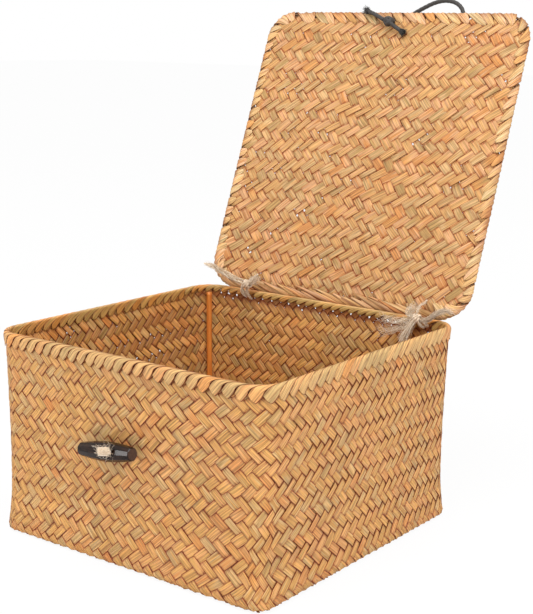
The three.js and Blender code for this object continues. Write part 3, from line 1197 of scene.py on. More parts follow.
MAP_STEP = 0.37  # metres on the strip map between one path and the next
PACKING = 1.6  # room that wound strands take beyond their number


def length_along(path: Array) -> Array:
    """Measures paths.

    Args:
        path: Points, with the axes last and the order along the path before them.

    Returns:
        Length from the start of each path to each of its points.
    """
    steps = np.linalg.norm(np.diff(path, axis=-2), axis=-1)
    return np.concatenate([np.zeros((*steps.shape[:-1], 1)), np.cumsum(steps, -1)], -1)


def carried(path: Array, radius: Array | float, sides: int) -> tuple[Array, Array]:
    """Carries a circle along paths.

    The direction across starts at right angles to the path and is turned as little as possible
    from each station to the next, by taking out the part that lies along the path.

    Args:
        path: Millimetres, numbered by path, station and axis.
        radius: Radius at each path and station, or one for all.
        sides: Points round the circle.

    Returns:
        Points and map coordinates, numbered by path, station, place round the circle, and axis.
    """
    tangent = np.gradient(path, axis=1)
    tangent /= np.linalg.norm(tangent, axis=-1, keepdims=True) + 1e-9
    current = np.eye(3)[np.abs(tangent[:, 0]).argmin(-1)]
    across = np.empty_like(path)
    for station in range(path.shape[1]):
        along = tangent[:, station]
        current = current - along * np.sum(current * along, -1, keepdims=True)
        current = current / (np.linalg.norm(current, axis=-1, keepdims=True) + 1e-9)
        across[:, station] = current
    over = np.cross(tangent, across)
    angle = np.arange(sides) / sides * 2 * math.pi
    ring = across[:, :, None] * np.cos(angle)[:, None] + over[:, :, None] * np.sin(angle)[:, None]
    wide = np.broadcast_to(radius, path.shape[:2])[..., None]
    points = path[:, :, None] + ring * wide[..., None]
    length = np.broadcast_to(length_along(path)[..., None], points.shape[:3])
    uv = np.stack([length * MM, angle * wide * MM], -1)
    return points, uv + np.arange(len(path))[:, None, None, None] * MAP_STEP


def beside(path: Array) -> tuple[Array, Array]:
    """Two directions at right angles to one path and to each other, carried along it."""
    ring, _ = carried(path[None], 1.0, 4)
    return ring[0, :, 0] - path, ring[0, :, 1] - path


def plies(path: Array, thickness: float, strands: int, lay: float) -> Array:
    """Winds strands round a path.

    Each strand is a helix: the path plus half the leftover thickness in a direction that turns
    once per lay, with the strands spread evenly round it.

    Args:
        path: Middle line in millimetres.
        thickness: Width over all the strands.
        strands: Number of strands.
        lay: Length of one turn.

    Returns:
        Middle line of each strand.
    """
    across, over = beside(path)
    begin = np.arange(strands)[:, None] / strands
    turn = 2 * math.pi * (length_along(path)[None] / lay + begin)
    reach = thickness / 2 * strands / (strands + PACKING)
    return path + reach * (np.cos(turn)[..., None] * across + np.sin(turn)[..., None] * over)


def smooth_path(points: Array | Route, count: int) -> Array:
    """Draws a centripetal Catmull-Rom curve through points and samples it evenly.

    The knots are spaced by the square root of the distance between the points, and each stretch
    is the cubic whose end slopes come from the three chords round each of its ends. Each end has
    one more point, mirrored from its neighbour.

    Args:
        points: Points in millimetres.
        count: Number of samples.

    Returns:
        Samples with equal lengths between them.
    """
    points = np.asarray(points, float)
    padded = np.concatenate([[2 * points[0] - points[1]], points, [2 * points[-1] - points[-2]]])
    gaps = np.sqrt(np.linalg.norm(np.diff(padded, axis=0), axis=1))[:, None]
    chord = np.diff(padded, axis=0) / gaps
    wide = (padded[2:] - padded[:-2]) / (gaps[1:] + gaps[:-1])
    slope = chord[:-1] - wide + chord[1:]
    share = np.linspace(0, 1, 24, endpoint=False)[None, :, None]
    start, end = points[:-1, None], points[1:, None]
    span = gaps[1:-1, None]
    begin, finish = slope[:-1, None] * span, slope[1:, None] * span
    cubic = (
        (2 * share**3 - 3 * share**2 + 1) * start
        + (share**3 - 2 * share**2 + share) * begin
        + (3 * share**2 - 2 * share**3) * end
        + (share**3 - share**2) * finish
    )
    dense = np.concatenate([cubic.reshape(-1, 3), points[-1:]])
    length = length_along(dense)
    even = np.linspace(0, length[-1], count)
    return np.stack([np.interp(even, length, dense[:, axis]) for axis in range(3)], -1)


@dataclass(frozen=True)
class Twine:
    """Twine of a few wound strands, plump enough that no gap shows between them."""

    thickness: float
    lay: float
    strands: int = 3
    plump: float = 2.1875
    sides: int = 7

    def build(self, name: str, path: Array) -> Piece:
        """Makes the twine.

        Args:
            name: Name of the object.
            path: Middle line in millimetres.

        Returns:
            The new object.
        """
        lines = plies(path, self.thickness, self.strands, self.lay)
        strand = self.thickness / 2 * self.plump / (self.strands + PACKING)
        points, uv = carried(lines, strand, self.sides)
        rng = np.random.default_rng(len(path))
        return sheaths(name, points, uv, {"tone": 0.2 * rng.uniform(-1, 1, (self.strands, 1, 1))})


@dataclass(frozen=True)
class Bundle:
    """Many loose fibres that follow one path.

    Each fibre keeps its own place beside the path, which widens with the square of the length,
    and waves to and fro by slow sines. The fibres start and end at different places.
    """

    count: int
    wide: float
    deep: float
    flare: float = 1.0
    curl: float = 1.0
    ragged: float = 0.2
    thickness: float = 0.3
    steps: int = 22
    tone: float = 0.35

    def lines(self, rng: np.random.Generator, path: Array) -> Array:
        """Middle lines of the fibres.

        Args:
            rng: Source of the random numbers.
            path: Path in millimetres.

        Returns:
            Points numbered by fibre, station and axis.
        """
        start = rng.uniform(0, self.ragged, (self.count, 1)) ** 1.5
        end = 1 - rng.uniform(0, self.ragged, (self.count, 1))
        share = start + (end - start) * np.linspace(0, 1, self.steps)
        knots = np.linspace(0, 1, len(path))
        middle, sideways, upward = (
            np.stack([np.interp(share, knots, line[:, axis]) for axis in range(3)], -1)
            for line in (path, *beside(path))
        )
        widen = 1 + (self.flare - 1) * share**2
        grow = 0.3 + 0.7 * share
        own = [rng.normal(0, 0.5, (self.count, 1)).clip(-1, 1) for _ in range(2)]
        wave = [self.curl * grow * drift(rng, self.count, share, (0.37, 0.83)) for _ in range(2)]
        shift_a = (self.wide * own[0] * widen + wave[0])[..., None]
        shift_b = (self.deep * own[1] * widen + wave[1])[..., None]
        return middle + sideways * shift_a + upward * shift_b

    def build(self, name: str, path: Array, seed: int) -> Piece:
        """Makes the fibres as thin tubes that taper to their tips.

        Args:
            name: Name of the object.
            path: Path in millimetres.
            seed: Seed for the fibres.

        Returns:
            The new object.
        """
        rng = np.random.default_rng(seed)
        lines = self.lines(rng, path)
        taper = 1 - 0.65 * np.linspace(0, 1, self.steps) ** 3
        thick = self.thickness / 2 * rng.uniform(0.6, 1.2, (self.count, 1))
        points, uv = carried(lines, thick * taper, 3)
        tone = self.tone * rng.uniform(-1, 1, (self.count, 1, 1))
        return sheaths(name, points, uv, {"tone": tone})


# The basket


@dataclass(frozen=True)
class Basket:
    """Plaited walls and floor, the folded rim, its browned hoop and the corner stakes."""

    plait: Plait = Plait()
    rim_fold: Hem = Hem(
        insets=(1.85, 1.8, 1.75, 1.6, 1.3, 1.0, 1.2, 2.2, 3.5, 4.8, 5.7, 5.9, 5.7, 5.3, 4.9),
        heights=(
            145.5, 148.5, 151, 153.5, 156.4, 159, 160.7, 162, 162.3, 162, 160.8, 159, 156, 153,
            149.6,
        ),
        rates=(1.05, 1.05, 1.0, 0.9, 0.8, 0.9, 1.5, 2.6, 3.0, 2.9, 2.2, 1.5, 1.1, 1, 1),
        anchor=0.0,
        fill=1.07,
        half_thickness=0.28,
        lap=-0.18,
        end_taper=2,
        start=6.6,
        steps=30,
    )  # fmt: skip
    wall_heights: tuple[float, float] = (-5.5, 158.8)
    near_rear: float = 108
    # Heights above which the weave gets painted shade: under the rear bead inside, under the rim
    # fold outside.
    bead_shade_above: float = 150.2
    shaded_above: float = 154
    floor_gap: float = 0.6
    rear_reach: float = 122
    right_side: tuple[float, float] = (150, 370)
    rear_short: float = 7.6
    front_short: float = 3.8
    inner_inset: float = 5.15
    stake_diameter: float = 5.0
    stake_gap: float = 0.5

    def walls(self, material: Material) -> None:
        """Plaits the walls, one piece for each family of strips.

        Args:
            material: Their finish.
        """
        ground = WallGround()
        numbers = np.arange(ground.strips, dtype=float)
        rows = tuple(float(ground.row_of(height)) for height in self.wall_heights)
        for family in Family:
            points, uv, values = self.plait.strips(ground, family, numbers, rows, 11 + family.value)
            under, height = values["inner"], values.pop("height")
            # Painted shade: outside, the weave is painted dark brown towards the top, where it runs
            # in under the folded rim; inside the rear wall, a red-brown band of painted shade lies
            # just under the bead.
            rear = fade(points[..., 1], self.near_rear, 8)
            darkening = 0.62 * rear * fade(height, self.bead_shade_above, 1.6)
            shaded = fade(height, self.shaded_above, 1.2)
            values["shade_and_stain"] = under * darkening + (1 - under) * shaded
            # Painted light and shade, on the inner faces only: on the left wall rising strips are
            # painted lighter and falling ones darker; on the rear wall falling strips are lighter,
            # and the whole inside is lighter.
            left = fade(points[..., 0], -self.near_rear, -8) * (1 - rear)
            values["painted_light"] = under * (family.value * (0.17 * left - 0.13 * rear) + 0.09 * rear)
            piece = sheaths(f"wall_strips_{family.name.lower()}", points, uv, values)
            replaced = ("box_basket",) if family is Family.RISING else ()
            dress(piece, material, "basket", replaced)

    def floor(self, material: Material) -> None:
        """Plaits the floor, whose strips end inside the bend at the foot of the walls.

        Args:
            material: Its finish.
        """
        half_x, half_y, radius = (float(v) for v in SHAPE.sizes(np.array(SHAPE.edge_bend)))
        ground = FlatGround(half_x, 2 * half_y, radius, pitch=9.6, row=9.2, wander=0.7)
        inset = SHAPE.edge_bend + self.floor_gap
        for family in Family:
            points, uv, values, keep = self.plait.panel(ground, family, inset, 31 + family.value)
            points = points + np.array([0, -half_y, SHAPE.wall / 2])
            piece = sheaths(f"floor_strips_{family.name.lower()}", points, uv, values, keep)
            dress(piece, material, "basket")

    def rim(self, material: Material) -> None:
        """Folds the strips over the hoop, shorter inside the rear wall than elsewhere.

        Args:
            material: Their finish.
        """
        ground = WallGround()
        outline = ground.rim
        numbers = np.arange(ground.strips) + float(ground.row_of(self.rim_fold.heights[0]))
        station = ground.station_of(numbers)
        pitch = ground.station_of(numbers + 1) - station
        around = np.mod(station, outline.length)
        rear = np.abs(around - outline.length / 2) < self.rear_reach
        right = (around > self.right_side[0]) & (around < self.right_side[1])
        whole = self.rim_fold.profile()["length"][-1] - self.rim_fold.start
        reach = 1 - np.where(rear, self.rear_short, self.front_short) / whole
        slant = np.where(right, 0.9, np.where(rear, 1.2, 1.0))
        wide = np.where(right, 1.08, np.where(rear, 1.15, 1.0))
        taper = np.where(rear, 11.0, 0.35)
        place_s, inset, height, uv, values = self.rim_fold.strips(
            station, pitch * wide, slant, reach, taper, 5
        )
        flatter = np.minimum(inset, self.inner_inset + 0.12 * (inset - self.inner_inset))
        inset = np.where(rear[:, None, None], inset, flatter)
        x, y = outline.inside(place_s, inset)
        piece = sheaths("rim_border_strips", np.stack([x, y, height], -1), uv, values)
        dress(piece, material, "basket", ("rim_border",))

    def hoop(self, material: Material) -> None:
        """Gives the frame's own hoop in the rim its finish.

        Args:
            material: The finish.
        """
        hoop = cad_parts["rim_hoop"]
        hoop.data.materials.clear()
        hoop.data.materials.append(material)

    def stakes(self, material: Material) -> None:
        """Bends a round cane stake into each corner.

        Args:
            material: Their finish.
        """
        inward = SHAPE.wall + self.stake_gap + self.stake_diameter / 2
        heights = np.concatenate([[3.5], np.linspace(12, 150, 12), [156.2]])
        half_x, half_y, radius = SHAPE.sizes(heights)
        reach = radius - (radius - inward) * math.sqrt(0.5)
        for depth_name, side_y in (("front", -1), ("rear", 1)):
            for side_name, side_x in (("left", -1), ("right", 1)):
                path = np.stack([side_x * (half_x - reach), side_y * (half_y - reach), heights], -1)
                points, uv = carried(smooth_path(path, 60)[None], self.stake_diameter / 2, 20)
                name = f"corner_stake_{depth_name}_{side_name}"
                piece = sheaths(f"{name}_cane", points, uv)
                dress(piece, material, "basket", (name,))


# The lid


@dataclass(frozen=True)
class LidPlace:
    """Where the open lid stands: the hinge line and how far the lid leans back."""

    shift: float = 2.4
    hinge_y: float = 132
    hinge_z: float = 166.3
    degrees: float = 111.1
    behind: float = 3.0

    def to_box(self, flat: Array) -> Array:
        """Turns places on the lid into places in the box.

        Args:
            flat: Across, distance from the lid's hinge edge, and height above the middle of the
                mat on the side that faces into the box.

        Returns:
            X, Y and Z in millimetres.
        """
        along, up = self.behind - flat[..., 1], -flat[..., 2]
        cos, sin = math.cos(math.radians(self.degrees)), -math.sin(math.radians(self.degrees))
        y = self.hinge_y + along * cos - up * sin
        z = self.hinge_z + along * sin + up * cos
        return np.stack([flat[..., 0] + self.shift, y, z], -1)


LID = LidPlace()


@dataclass(frozen=True)
class Lid:
    """The plaited lid with its folded edge."""

    half_width: float = 136
    depth: float = 264
    radius: float = 25
    pitch: float = 10.8
    row: float = 9.45
    wander: float = 1.6
    skew: float = 0.2
    plait: Plait = Plait(
        fill=1.03, bias=0.15, uneven=0.15, stray=0.9, section=UPPER_SECTION + LOWER_SECTION
    )
    edge_fold: Hem = Hem(
        insets=(12.0, 9.5, 7.0, 4.0, 2.0, 0.9, 0.5, 0.9, 2.0, 4.0, 7.0, 10.0, 13.0),
        heights=(-0.2, -1.2, -1.5, -1.7, -1.6, -1.0, 0, 1.0, 1.5, 1.6, 1.35, 1.1, -0.2),
        rates=(-1,) * 13,
        anchor=0.5,
        fill=1.08,
        half_thickness=0.3,
        lap=0.22,
        end_taper=4,
    )
    mat_inset: float = 4.2
    lip: float = 3.0
    lip_depth: float = 10
    hoop_inset: float = 3.2
    hoop_radius: float = 1.0
    hinge_slant: float = 4.4
    left_slant: float = 0.62

    @property
    def outline(self) -> Outline:
        """The lid's outline, by which the stations of its edge are counted."""
        return Outline(self.half_width, self.depth / 2, self.radius)

    def at_edge(self, x: Array, y: Array, height: Array) -> Array:
        """Places points near the edge in the box, from places round the lid's middle."""
        return LID.to_box(self.drooped(np.stack([x, y + self.depth / 2, height], -1)))

    def mat(self, material: Material) -> None:
        """Plaits the lid's panel, one piece for each family of strips.

        Args:
            material: Its finish.
        """
        ground = FlatGround(
            self.half_width, self.depth, self.radius, self.pitch, self.row, self.wander, self.skew
        )
        for family in Family:
            points, uv, values, keep = self.plait.panel(
                ground, family, self.mat_inset, 51 + family.value
            )
            name = f"lid_strips_{family.name.lower()}"
            piece = sheaths(name, LID.to_box(self.drooped(points)), uv, values, keep)
            replaced = ("lid_mat",) if family is Family.RISING else ()
            dress(piece, material, "lid", replaced)

    def exits(self, outline: Outline) -> tuple[Array, Array]:
        """Finds where strips of the panel leave it, and how they slant there.

        At the two sides the strips of one family leave once per row, and at the front those of
        the other family once per pitch. At the hinge edge they lie closer and slant more. Three
        more go round each corner.

        Args:
            outline: The lid's outline.

        Returns:
            Stations in order, and a factor on the slant of each strip.
        """
        flat_x, flat_y = self.half_width - self.radius, self.depth / 2 - self.radius
        rows = np.arange(-flat_y + 3, flat_y - 3, self.row)
        columns = np.arange(-flat_x + 3, flat_x - 3, self.pitch)
        close = np.arange(-flat_x + 3, flat_x - 3, 0.55 * self.pitch)
        corner = (np.arange(3) + 0.6) / 3 * math.pi / 2 * self.radius
        ends, length = outline.ends, outline.length
        parts = [
            (close[close >= 0], self.hinge_slant),
            (ends[1] + corner, 1.2),
            (ends[2] + flat_y + rows, 0.9),
            (ends[3] + corner, 0.9),
            (ends[4] + flat_x + columns, 1.14),
            (ends[5] + corner, 1.0),
            (ends[6] + flat_y + rows, self.left_slant),
            (ends[7] + corner, 1.0),
            (length + close[close < 0], self.hinge_slant),
        ]
        stations = np.concatenate([part for part, _ in parts])
        return stations, np.concatenate([np.full(len(part), slant) for part, slant in parts])

    def drooped(self, flat: Array) -> Array:
        """Lets the hinge edge hang behind the rim: the nearer it is, the further down and out.

        Args:
            flat: Places on the lid.

        Returns:
            The places, shifted.
        """
        near = np.clip((self.lip_depth - flat[..., 1]) / self.lip_depth, 0, 1.2) ** 2
        near = near * fade(np.abs(flat[..., 0]), self.half_width - 12, -20)
        shift = np.stack([0 * near, -self.lip * near, -0.95 * self.lip * near], -1)
        return flat + shift

    def hoop(self, material: Material) -> None:
        """Bends the stiffening wire inside the folded edge, which it follows down at the hinge.

        Args:
            material: Its finish.
        """
        station = np.linspace(0, self.outline.length + 4, 300)
        x, y = self.outline.inside(station, self.hoop_inset + 0 * station)
        points, uv = carried(self.at_edge(x, y, 0 * x)[None], self.hoop_radius, 10)
        dress(sheaths("lid_hoop_wire", points, uv), material, "lid", ("lid_hoop",))

    def edge(self, material: Material) -> None:
        """Folds the strips round the lid's edge.

        Args:
            material: Their finish.
        """
        outline = self.outline
        station, slant = self.exits(outline)
        pitch = np.diff(np.append(station, station[0] + outline.length))
        rng = np.random.default_rng(8)
        count = len(station)
        station = station + 0.12 * pitch * rng.uniform(-1, 1, count)
        slant = slant * rng.uniform(0.8, 1.25, count)
        hinge = slant > 2.5
        reach = rng.uniform(0.8, 1, count) * np.where(hinge, 0.84, 1)
        pitch = pitch * np.where(hinge, 2.2 * rng.uniform(0.5, 1.25, count), 1)
        pitch = pitch * np.where(slant < 0.8, 0.8, 1)
        place_s, inset, height, uv, values = self.edge_fold.strips(
            station, pitch, slant, reach, np.full(count, 3.0), 9
        )
        x, y = outline.inside(place_s, inset)
        height = height + (hinge * rng.uniform(-0.2, 1.3, count))[:, None, None] * (height > 0.4)
        values["inner"] = np.zeros(1)
        scorched = (hinge * rng.uniform(0, 1, count) ** 1.5)[:, None, None]
        values["dive"] = values["dive"] + 1.1 * scorched
        darkening = fade(inset, 5, -3) * rng.uniform(0, 0.7, count)[:, None, None]
        values["shade_and_stain"] = darkening * np.where(hinge, 0.3, 1)[:, None, None]
        piece = sheaths("lid_border_strips", self.at_edge(x, y, height), uv, values)
        dress(piece, material, "lid", ("lid_border",))


# The closing loop on the lid


@dataclass(frozen=True)
class ClosingLoop:
    """A cord whose two ends go through the lid's slot to a knot on the inner face.

    The routes are the frame's own, from the slot's centre: across, towards the lid's front edge,
    and above the middle of the mat on the outer side.
    """

    diameter: float = 3.6
    sides: int = 16
    braid: float = 4.2
    swell: float = 0.05
    cut_end: float = 0.9
    hole_shift: float = -2
    hole_from_hinge_edge: float = 253
    knot_drop: float = 6.4
    fray: Bundle = Bundle(
        90, wide=2.2, deep=2.2, flare=2.2, curl=0.8, ragged=0.35, thickness=0.5, steps=8
    )

    LOOP = (
        (-1.8, 0, -2.4), (-1.8, 0, -0.6), (-1.2, 0.35, 2.2), (0.7, 1.4, 4.3), (3.2, 2.9, 5.1),
        (7.5, 5.4, 5.3), (13, 8.8, 5.2), (19, 12.8, 5.1), (27, 17.4, 5), (36, 21.6, 4.9),
        (46, 23.6, 4.9), (56.5, 21.8, 4.9), (63.5, 17, 5), (67.6, 9.6, 5.1), (69.8, 1, 5),
        (69.6, -8, 4.5), (66.5, -17, 3.9), (60, -25, 3.5), (51, -30.6, 3.4), (40, -32.4, 3.4),
        (29.5, -30, 3.4), (20.2, -25, 3.4), (12.8, -18.4, 3.6), (7.4, -11.6, 3.9),
        (4, -5.8, 3.9), (2.6, -2.8, 3.1), (1.95, -0.8, 1.2), (1.8, 0, -1.4), (1.8, 0, -2.4),
    )  # fmt: skip
    SHORT_TAIL = (
        (-2.4, 1.6, -6.4), (0.2, -0.2, -8), (3, -2, -7.6), (7.4, -4.6, -5), (12, -7, -3.9),
        (16, -9.3, -3.4),
    )  # fmt: skip
    LONG_TAIL = ((-5.4, 1.5, -5.8), (-12, 4.6, -5.3), (-19, 7.7, -5.1), (-26.5, 10.3, -5.1))

    def placed(self, local: Array) -> Array:
        """Puts points that are given from the slot's centre in the box."""
        slot = np.array([self.hole_shift, self.hole_from_hinge_edge, 0])
        return LID.to_box(slot + local * (1, 1, -1))

    def route(self, points: Route, count: int) -> Array:
        """Samples a route and puts it in the box."""
        return self.placed(smooth_path(points, count))

    def cord(self, name: str, path: Array, cut: bool = False) -> Piece:
        """Makes a round cord whose surface swells a little along its braid.

        Args:
            name: Name of the object.
            path: Middle line in millimetres.
            cut: Whether its last end is drawn in a little.

        Returns:
            The new object.
        """
        radius = np.full((1, len(path)), self.diameter / 2)
        if cut:
            radius[0, -1] *= self.cut_end
        points, uv = carried(path[None], radius, self.sides)
        length = length_along(path)[-1] * np.linspace(0, 1, len(path))[:, None]
        angle = np.arange(self.sides) / self.sides * 2 * math.pi
        twist = self.swell * np.cos(3 * angle - length * 2 * math.pi / self.braid)
        middle = path[None, :, None]
        points = middle + (points - middle) * (1 + twist[..., None])
        return sheaths(name, points, uv, {"tone": np.zeros(1)})

    def build(self, material: Material) -> None:
        """Args:
            material: Their finish.
        """
        loop_path = self.route(self.LOOP, 220)
        loop, knot = self.cord("closing_loop_cord", loop_path), self.knot()
        tail = self.cord("closing_loop_long_tail", self.route(self.LONG_TAIL, 40), cut=True)
        nodes = ("closing_loop", "closing_loop_knot", "closing_loop_tail")
        for piece, node in zip((loop, knot, tail), nodes):
            dress(piece, material, "lid", (node,))
        self.flatten(tail)
        for name, points in (("long", self.LONG_TAIL), ("short", self.SHORT_TAIL)):
            path = self.route(points, 40)
            away = path[-1] - path[-4]
            away /= np.linalg.norm(away)
            brush = smooth_path(path[-1] + away * np.array([[-3.4], [-1], [0.8], [2.8]]), 12)
            fray = self.fray.build(f"{name}_tail_fray", brush, 3)
            dress(fray, material, "lid")
            if name == "long":
                self.flatten(fray)

    def flatten(self, piece: Piece) -> None:
        """Gives a piece its own copy of its mesh."""
        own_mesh(piece)

    def knot(self) -> Piece:
        """Makes the overhand knot with the short tail.

        The cord's middle line goes round the two legs in two tilted turns, a flattened ring whose
        height slides from one side to the other, and runs out into the tail.

        Returns:
            The new object.
        """
        turn = np.linspace(0, 4.4 * math.pi, 90)
        share = turn / turn[-1]
        x, y = 3.6 * np.cos(turn) * (1 - 0.2 * share), 3.0 * np.sin(turn) * (1 - 0.15 * share)
        z = -self.knot_drop + 2.4 - 4.2 * share + 0.7 * np.sin(2 * turn)
        lines = (np.stack([x, y, z], -1), smooth_path(self.SHORT_TAIL, 30))
        even = [smooth_path(line[:: max(1, len(line) // 24)], 80) for line in lines]
        points, uv = carried(self.placed(np.stack(even)), self.diameter / 2, 14)
        return sheaths("closing_loop_knot_turns", points, uv, {"tone": np.zeros(1)})


# The two hinge ties


@dataclass(frozen=True)
class HingeTies:
    """Two rings of jute twine through lid and rim, each knotted, with frayed ends.

    A tie's place is where it sits along the hinge and the angle of its knot round the ring. The
    routes of the loose bundles run from each knot's centre: across, towards the rear, and up.
    """

    ring_radius: float = 13
    diameter: float = 2.6
    knot_strand: float = 0.72
    ring_hairs: Bundle = Bundle(
        30, wide=1.4, deep=1.4, flare=1, curl=1.4, ragged=0.5, thickness=0.16, steps=40
    )
    tight: Bundle = Bundle(
        46, wide=0.9, deep=0.9, flare=1.3, curl=0.5, ragged=0.12, thickness=0.42
    )
    cloud: Bundle = Bundle(
        110, wide=3.2, deep=2.4, flare=1.7, curl=3.0, ragged=0.5, thickness=0.19
    )
    hairs: Bundle = Bundle(
        36, wide=2.4, deep=2.4, flare=2.2, curl=3.2, ragged=0.25, thickness=0.22, steps=30
    )
    fan: Bundle = Bundle(
        200, wide=2.6, deep=2.0, flare=2.6, curl=0.8, ragged=0.16, thickness=0.42, tone=0.8
    )
    frayed: Bundle = Bundle(
        120, wide=1.7, deep=1.7, flare=1.3, curl=1.7, ragged=0.3, thickness=0.3, steps=30
    )
    brush: Bundle = Bundle(
        150, wide=1.5, deep=2.6, flare=0.8, curl=1.5, ragged=0.3, thickness=0.34, steps=30,
        tone=0.8,
    )  # fmt: skip

    LEFT = (-79.0, 168.0)
    RIGHT = (98.0, 196.0)
    TAIL = (
        (-5.4, 0, 0.6), (-11, -0.1, 2.2), (-19, 0.8, 4), (-28, 2.9, 5.8), (-37, 5.6, 7.5),
        (-46, 8.8, 9), (-53, 10.8, 9.8), (-60.5, 12.4, 10.3),
    )  # fmt: skip
    LEFT_LOOPS = (
        ((0, 0, 0), (-4.5, 0, -1.5), (-7.4, 1.2, -7), (-6, 3, -11), (-2.5, 4.4, -12.6)),
        ((1, 0, -0.5), (-1.5, 0.8, -5), (-2, 2.6, -10), (-1, 4.3, -12.6)),
        ((-2, -0.4, 1), (-6, 0.4, -3), (-5, 2.2, -8.6), (-3.4, 4.2, -12.4)),
    )
    LEFT_CLOUD = ((-3, 0, 0), (3, 0.6, 2.2), (7.5, 2, 4.6), (11, 4.2, 8.8))
    RIGHT_FAN = (
        (0.5, -0.3, 1.5), (-3.6, -0.8, -4), (-7, -1.1, -10.5), (-10, -1.3, -16.5), (-12, -1.4, -22),
    )  # fmt: skip
    RIGHT_TAIL = (
        (0, 0.2, 0), (6.5, 1, -0.6), (11, 1.4, 1.2), (15, 1.7, 4.8), (20, 2.5, 8), (26, 3.2, 9.9),
        (31, 3.5, 9), (33.6, 3.6, 6.6),
    )  # fmt: skip
    RIGHT_HAIRS = (
        ((1, -0.3, 0.5), (-8, -0.2, -2.5), (-23, 0.5, -5), (-41, 1.6, -3)),
        ((1, -0.4, -0.5), (-12, -0.6, -8), (-28, -0.2, -14), (-45, 0.8, -17)),
    )
    RIGHT_CLOUD = ((-2, 0, 0.5), (-7, 1.2, 3), (-6, 3.4, 7), (0, 4.4, 10))
    RIGHT_LOOPS = (
        ((0, -0.2, 0.8), (2.6, 0, -3), (5, 1.6, -6), (6.4, 4, -6)),
        ((2, 0, 0), (6.4, 0.8, -1.6), (8.6, 2.2, -4.6), (7.6, 4.4, -6.6)),
    )

    def on_ring(self, x: Array, radius: Array, turn: Array) -> Array:
        """Points round the hinge line, at a place along it, a radius and an angle."""
        y, z = LID.hinge_y + radius * np.cos(turn), LID.hinge_z + radius * np.sin(turn)
        return np.stack([x, y, z], -1)

    def centre(self, tie: tuple[float, float]) -> Array:
        """Centre of a tie's knot."""
        return self.on_ring(tie[0], self.ring_radius, math.radians(tie[1]))

    def fixed(
        self, piece: Piece, material: Material, replaced: tuple[str, ...] = ()
    ) -> None:
        """Fixes a piece to the basket and gives it its own copy of its mesh."""
        dress(piece, material, "basket", replaced)
        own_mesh(piece)

    def ring(self, side: str, tie: tuple[float, float], material: Material) -> None:
        """Makes the ring of twine through lid and rim, drawn tight where it enters the lid.

        Args:
            side: Left or right, for the names.
            tie: The tie's place.
            material: Its finish.
        """
        turn = np.linspace(0, 2 * math.pi, 150)
        radius = self.ring_radius - 5 * bell(turn, 1.8, 0.8)
        path = self.on_ring(np.full_like(turn, tie[0]), radius, turn)
        piece = Twine(0.45 * self.diameter, 9).build(f"{side}_hinge_tie_twine", path)
        dress(piece, material, "basket", (f"{side}_hinge_tie",))
        hairs = self.ring_hairs.build(f"{side}_hinge_tie_hairs", path, 21)
        dress(hairs, material, "basket")

    def knot(self, side: str, centre: Array) -> Piece:
        """Makes a knot from three tight turns of twine.

        Args:
            side: Left or right, for the name.
            centre: The knot's centre.

        Returns:
            The new object.
        """
        turn = np.linspace(0, 6 * math.pi, 110)
        x = 6.4 * (turn / turn[-1] - 0.5) + 1.0 * np.sin(turn)
        path = centre + np.stack([x, 2.4 * np.cos(turn), 2.9 * np.sin(turn)], -1)
        points, uv = carried(plies(path, self.diameter, 2, 7), self.knot_strand, 7)
        return sheaths(f"{side}_hinge_knot_twine", points, uv, {"tone": np.zeros(1)})

    def build(self, jute: Material, brushed: Material) -> None:
        """Args:
            jute: Finish of the twine.
            brushed: Finish of the paler fibres that came apart.
        """
        for side, tie in (("left", self.LEFT), ("right", self.RIGHT)):
            self.ring(side, tie, jute)
            self.fixed(self.knot(side, self.centre(tie)), jute, (f"{side}_hinge_knot",))
        left, right = self.centre(self.LEFT), self.centre(self.RIGHT)
        loops = (
            ("left", self.LEFT_LOOPS, left, 31, brushed),
            ("right", self.RIGHT_LOOPS, right, 41, jute),
        )
        for side, routes, centre, seed, material in loops:
            for number, route in enumerate(routes):
                path = smooth_path(np.add(route, centre), 30)
                piece = self.tight.build(f"{side}_tie_loop_{number}", path, seed + number)
                self.fixed(piece, material)
        loose = (
            ("left_tie_cloud", self.cloud, self.LEFT_CLOUD, left, jute),
            ("right_tie_cloud", self.cloud, self.RIGHT_CLOUD, right, brushed),
            ("right_tie_fan", self.fan, self.RIGHT_FAN, right, brushed),
            ("right_tie_tail", self.frayed, self.RIGHT_TAIL, right, jute),
            ("right_tie_hairs_high", self.hairs, self.RIGHT_HAIRS[0], right, brushed),
            ("right_tie_hairs_low", self.hairs, self.RIGHT_HAIRS[1], right, brushed),
        )
        for number, (name, bundle, route, centre, material) in enumerate(loose):
            path = smooth_path(np.add(route, centre), 40)
            self.fixed(bundle.build(name, path, 51 + number), material)
        self.tail(left, brushed)

    def tail(self, centre: Array, material: Material) -> None:
        """Makes the left tie's long tail, which has come apart into a flat brush.

        Args:
            centre: Centre of the left knot.
            material: Finish of the tail.
        """
        path = smooth_path(np.add(self.TAIL, centre), 90)
        core = Twine(0.7 * self.diameter, 16).build("left_tie_tail_twine", path)
        self.fixed(core, material, ("left_tie_tail",))
        brush = self.brush.build("left_tie_tail_brush", path, 61)
        self.fixed(brush, material)


# The toggle


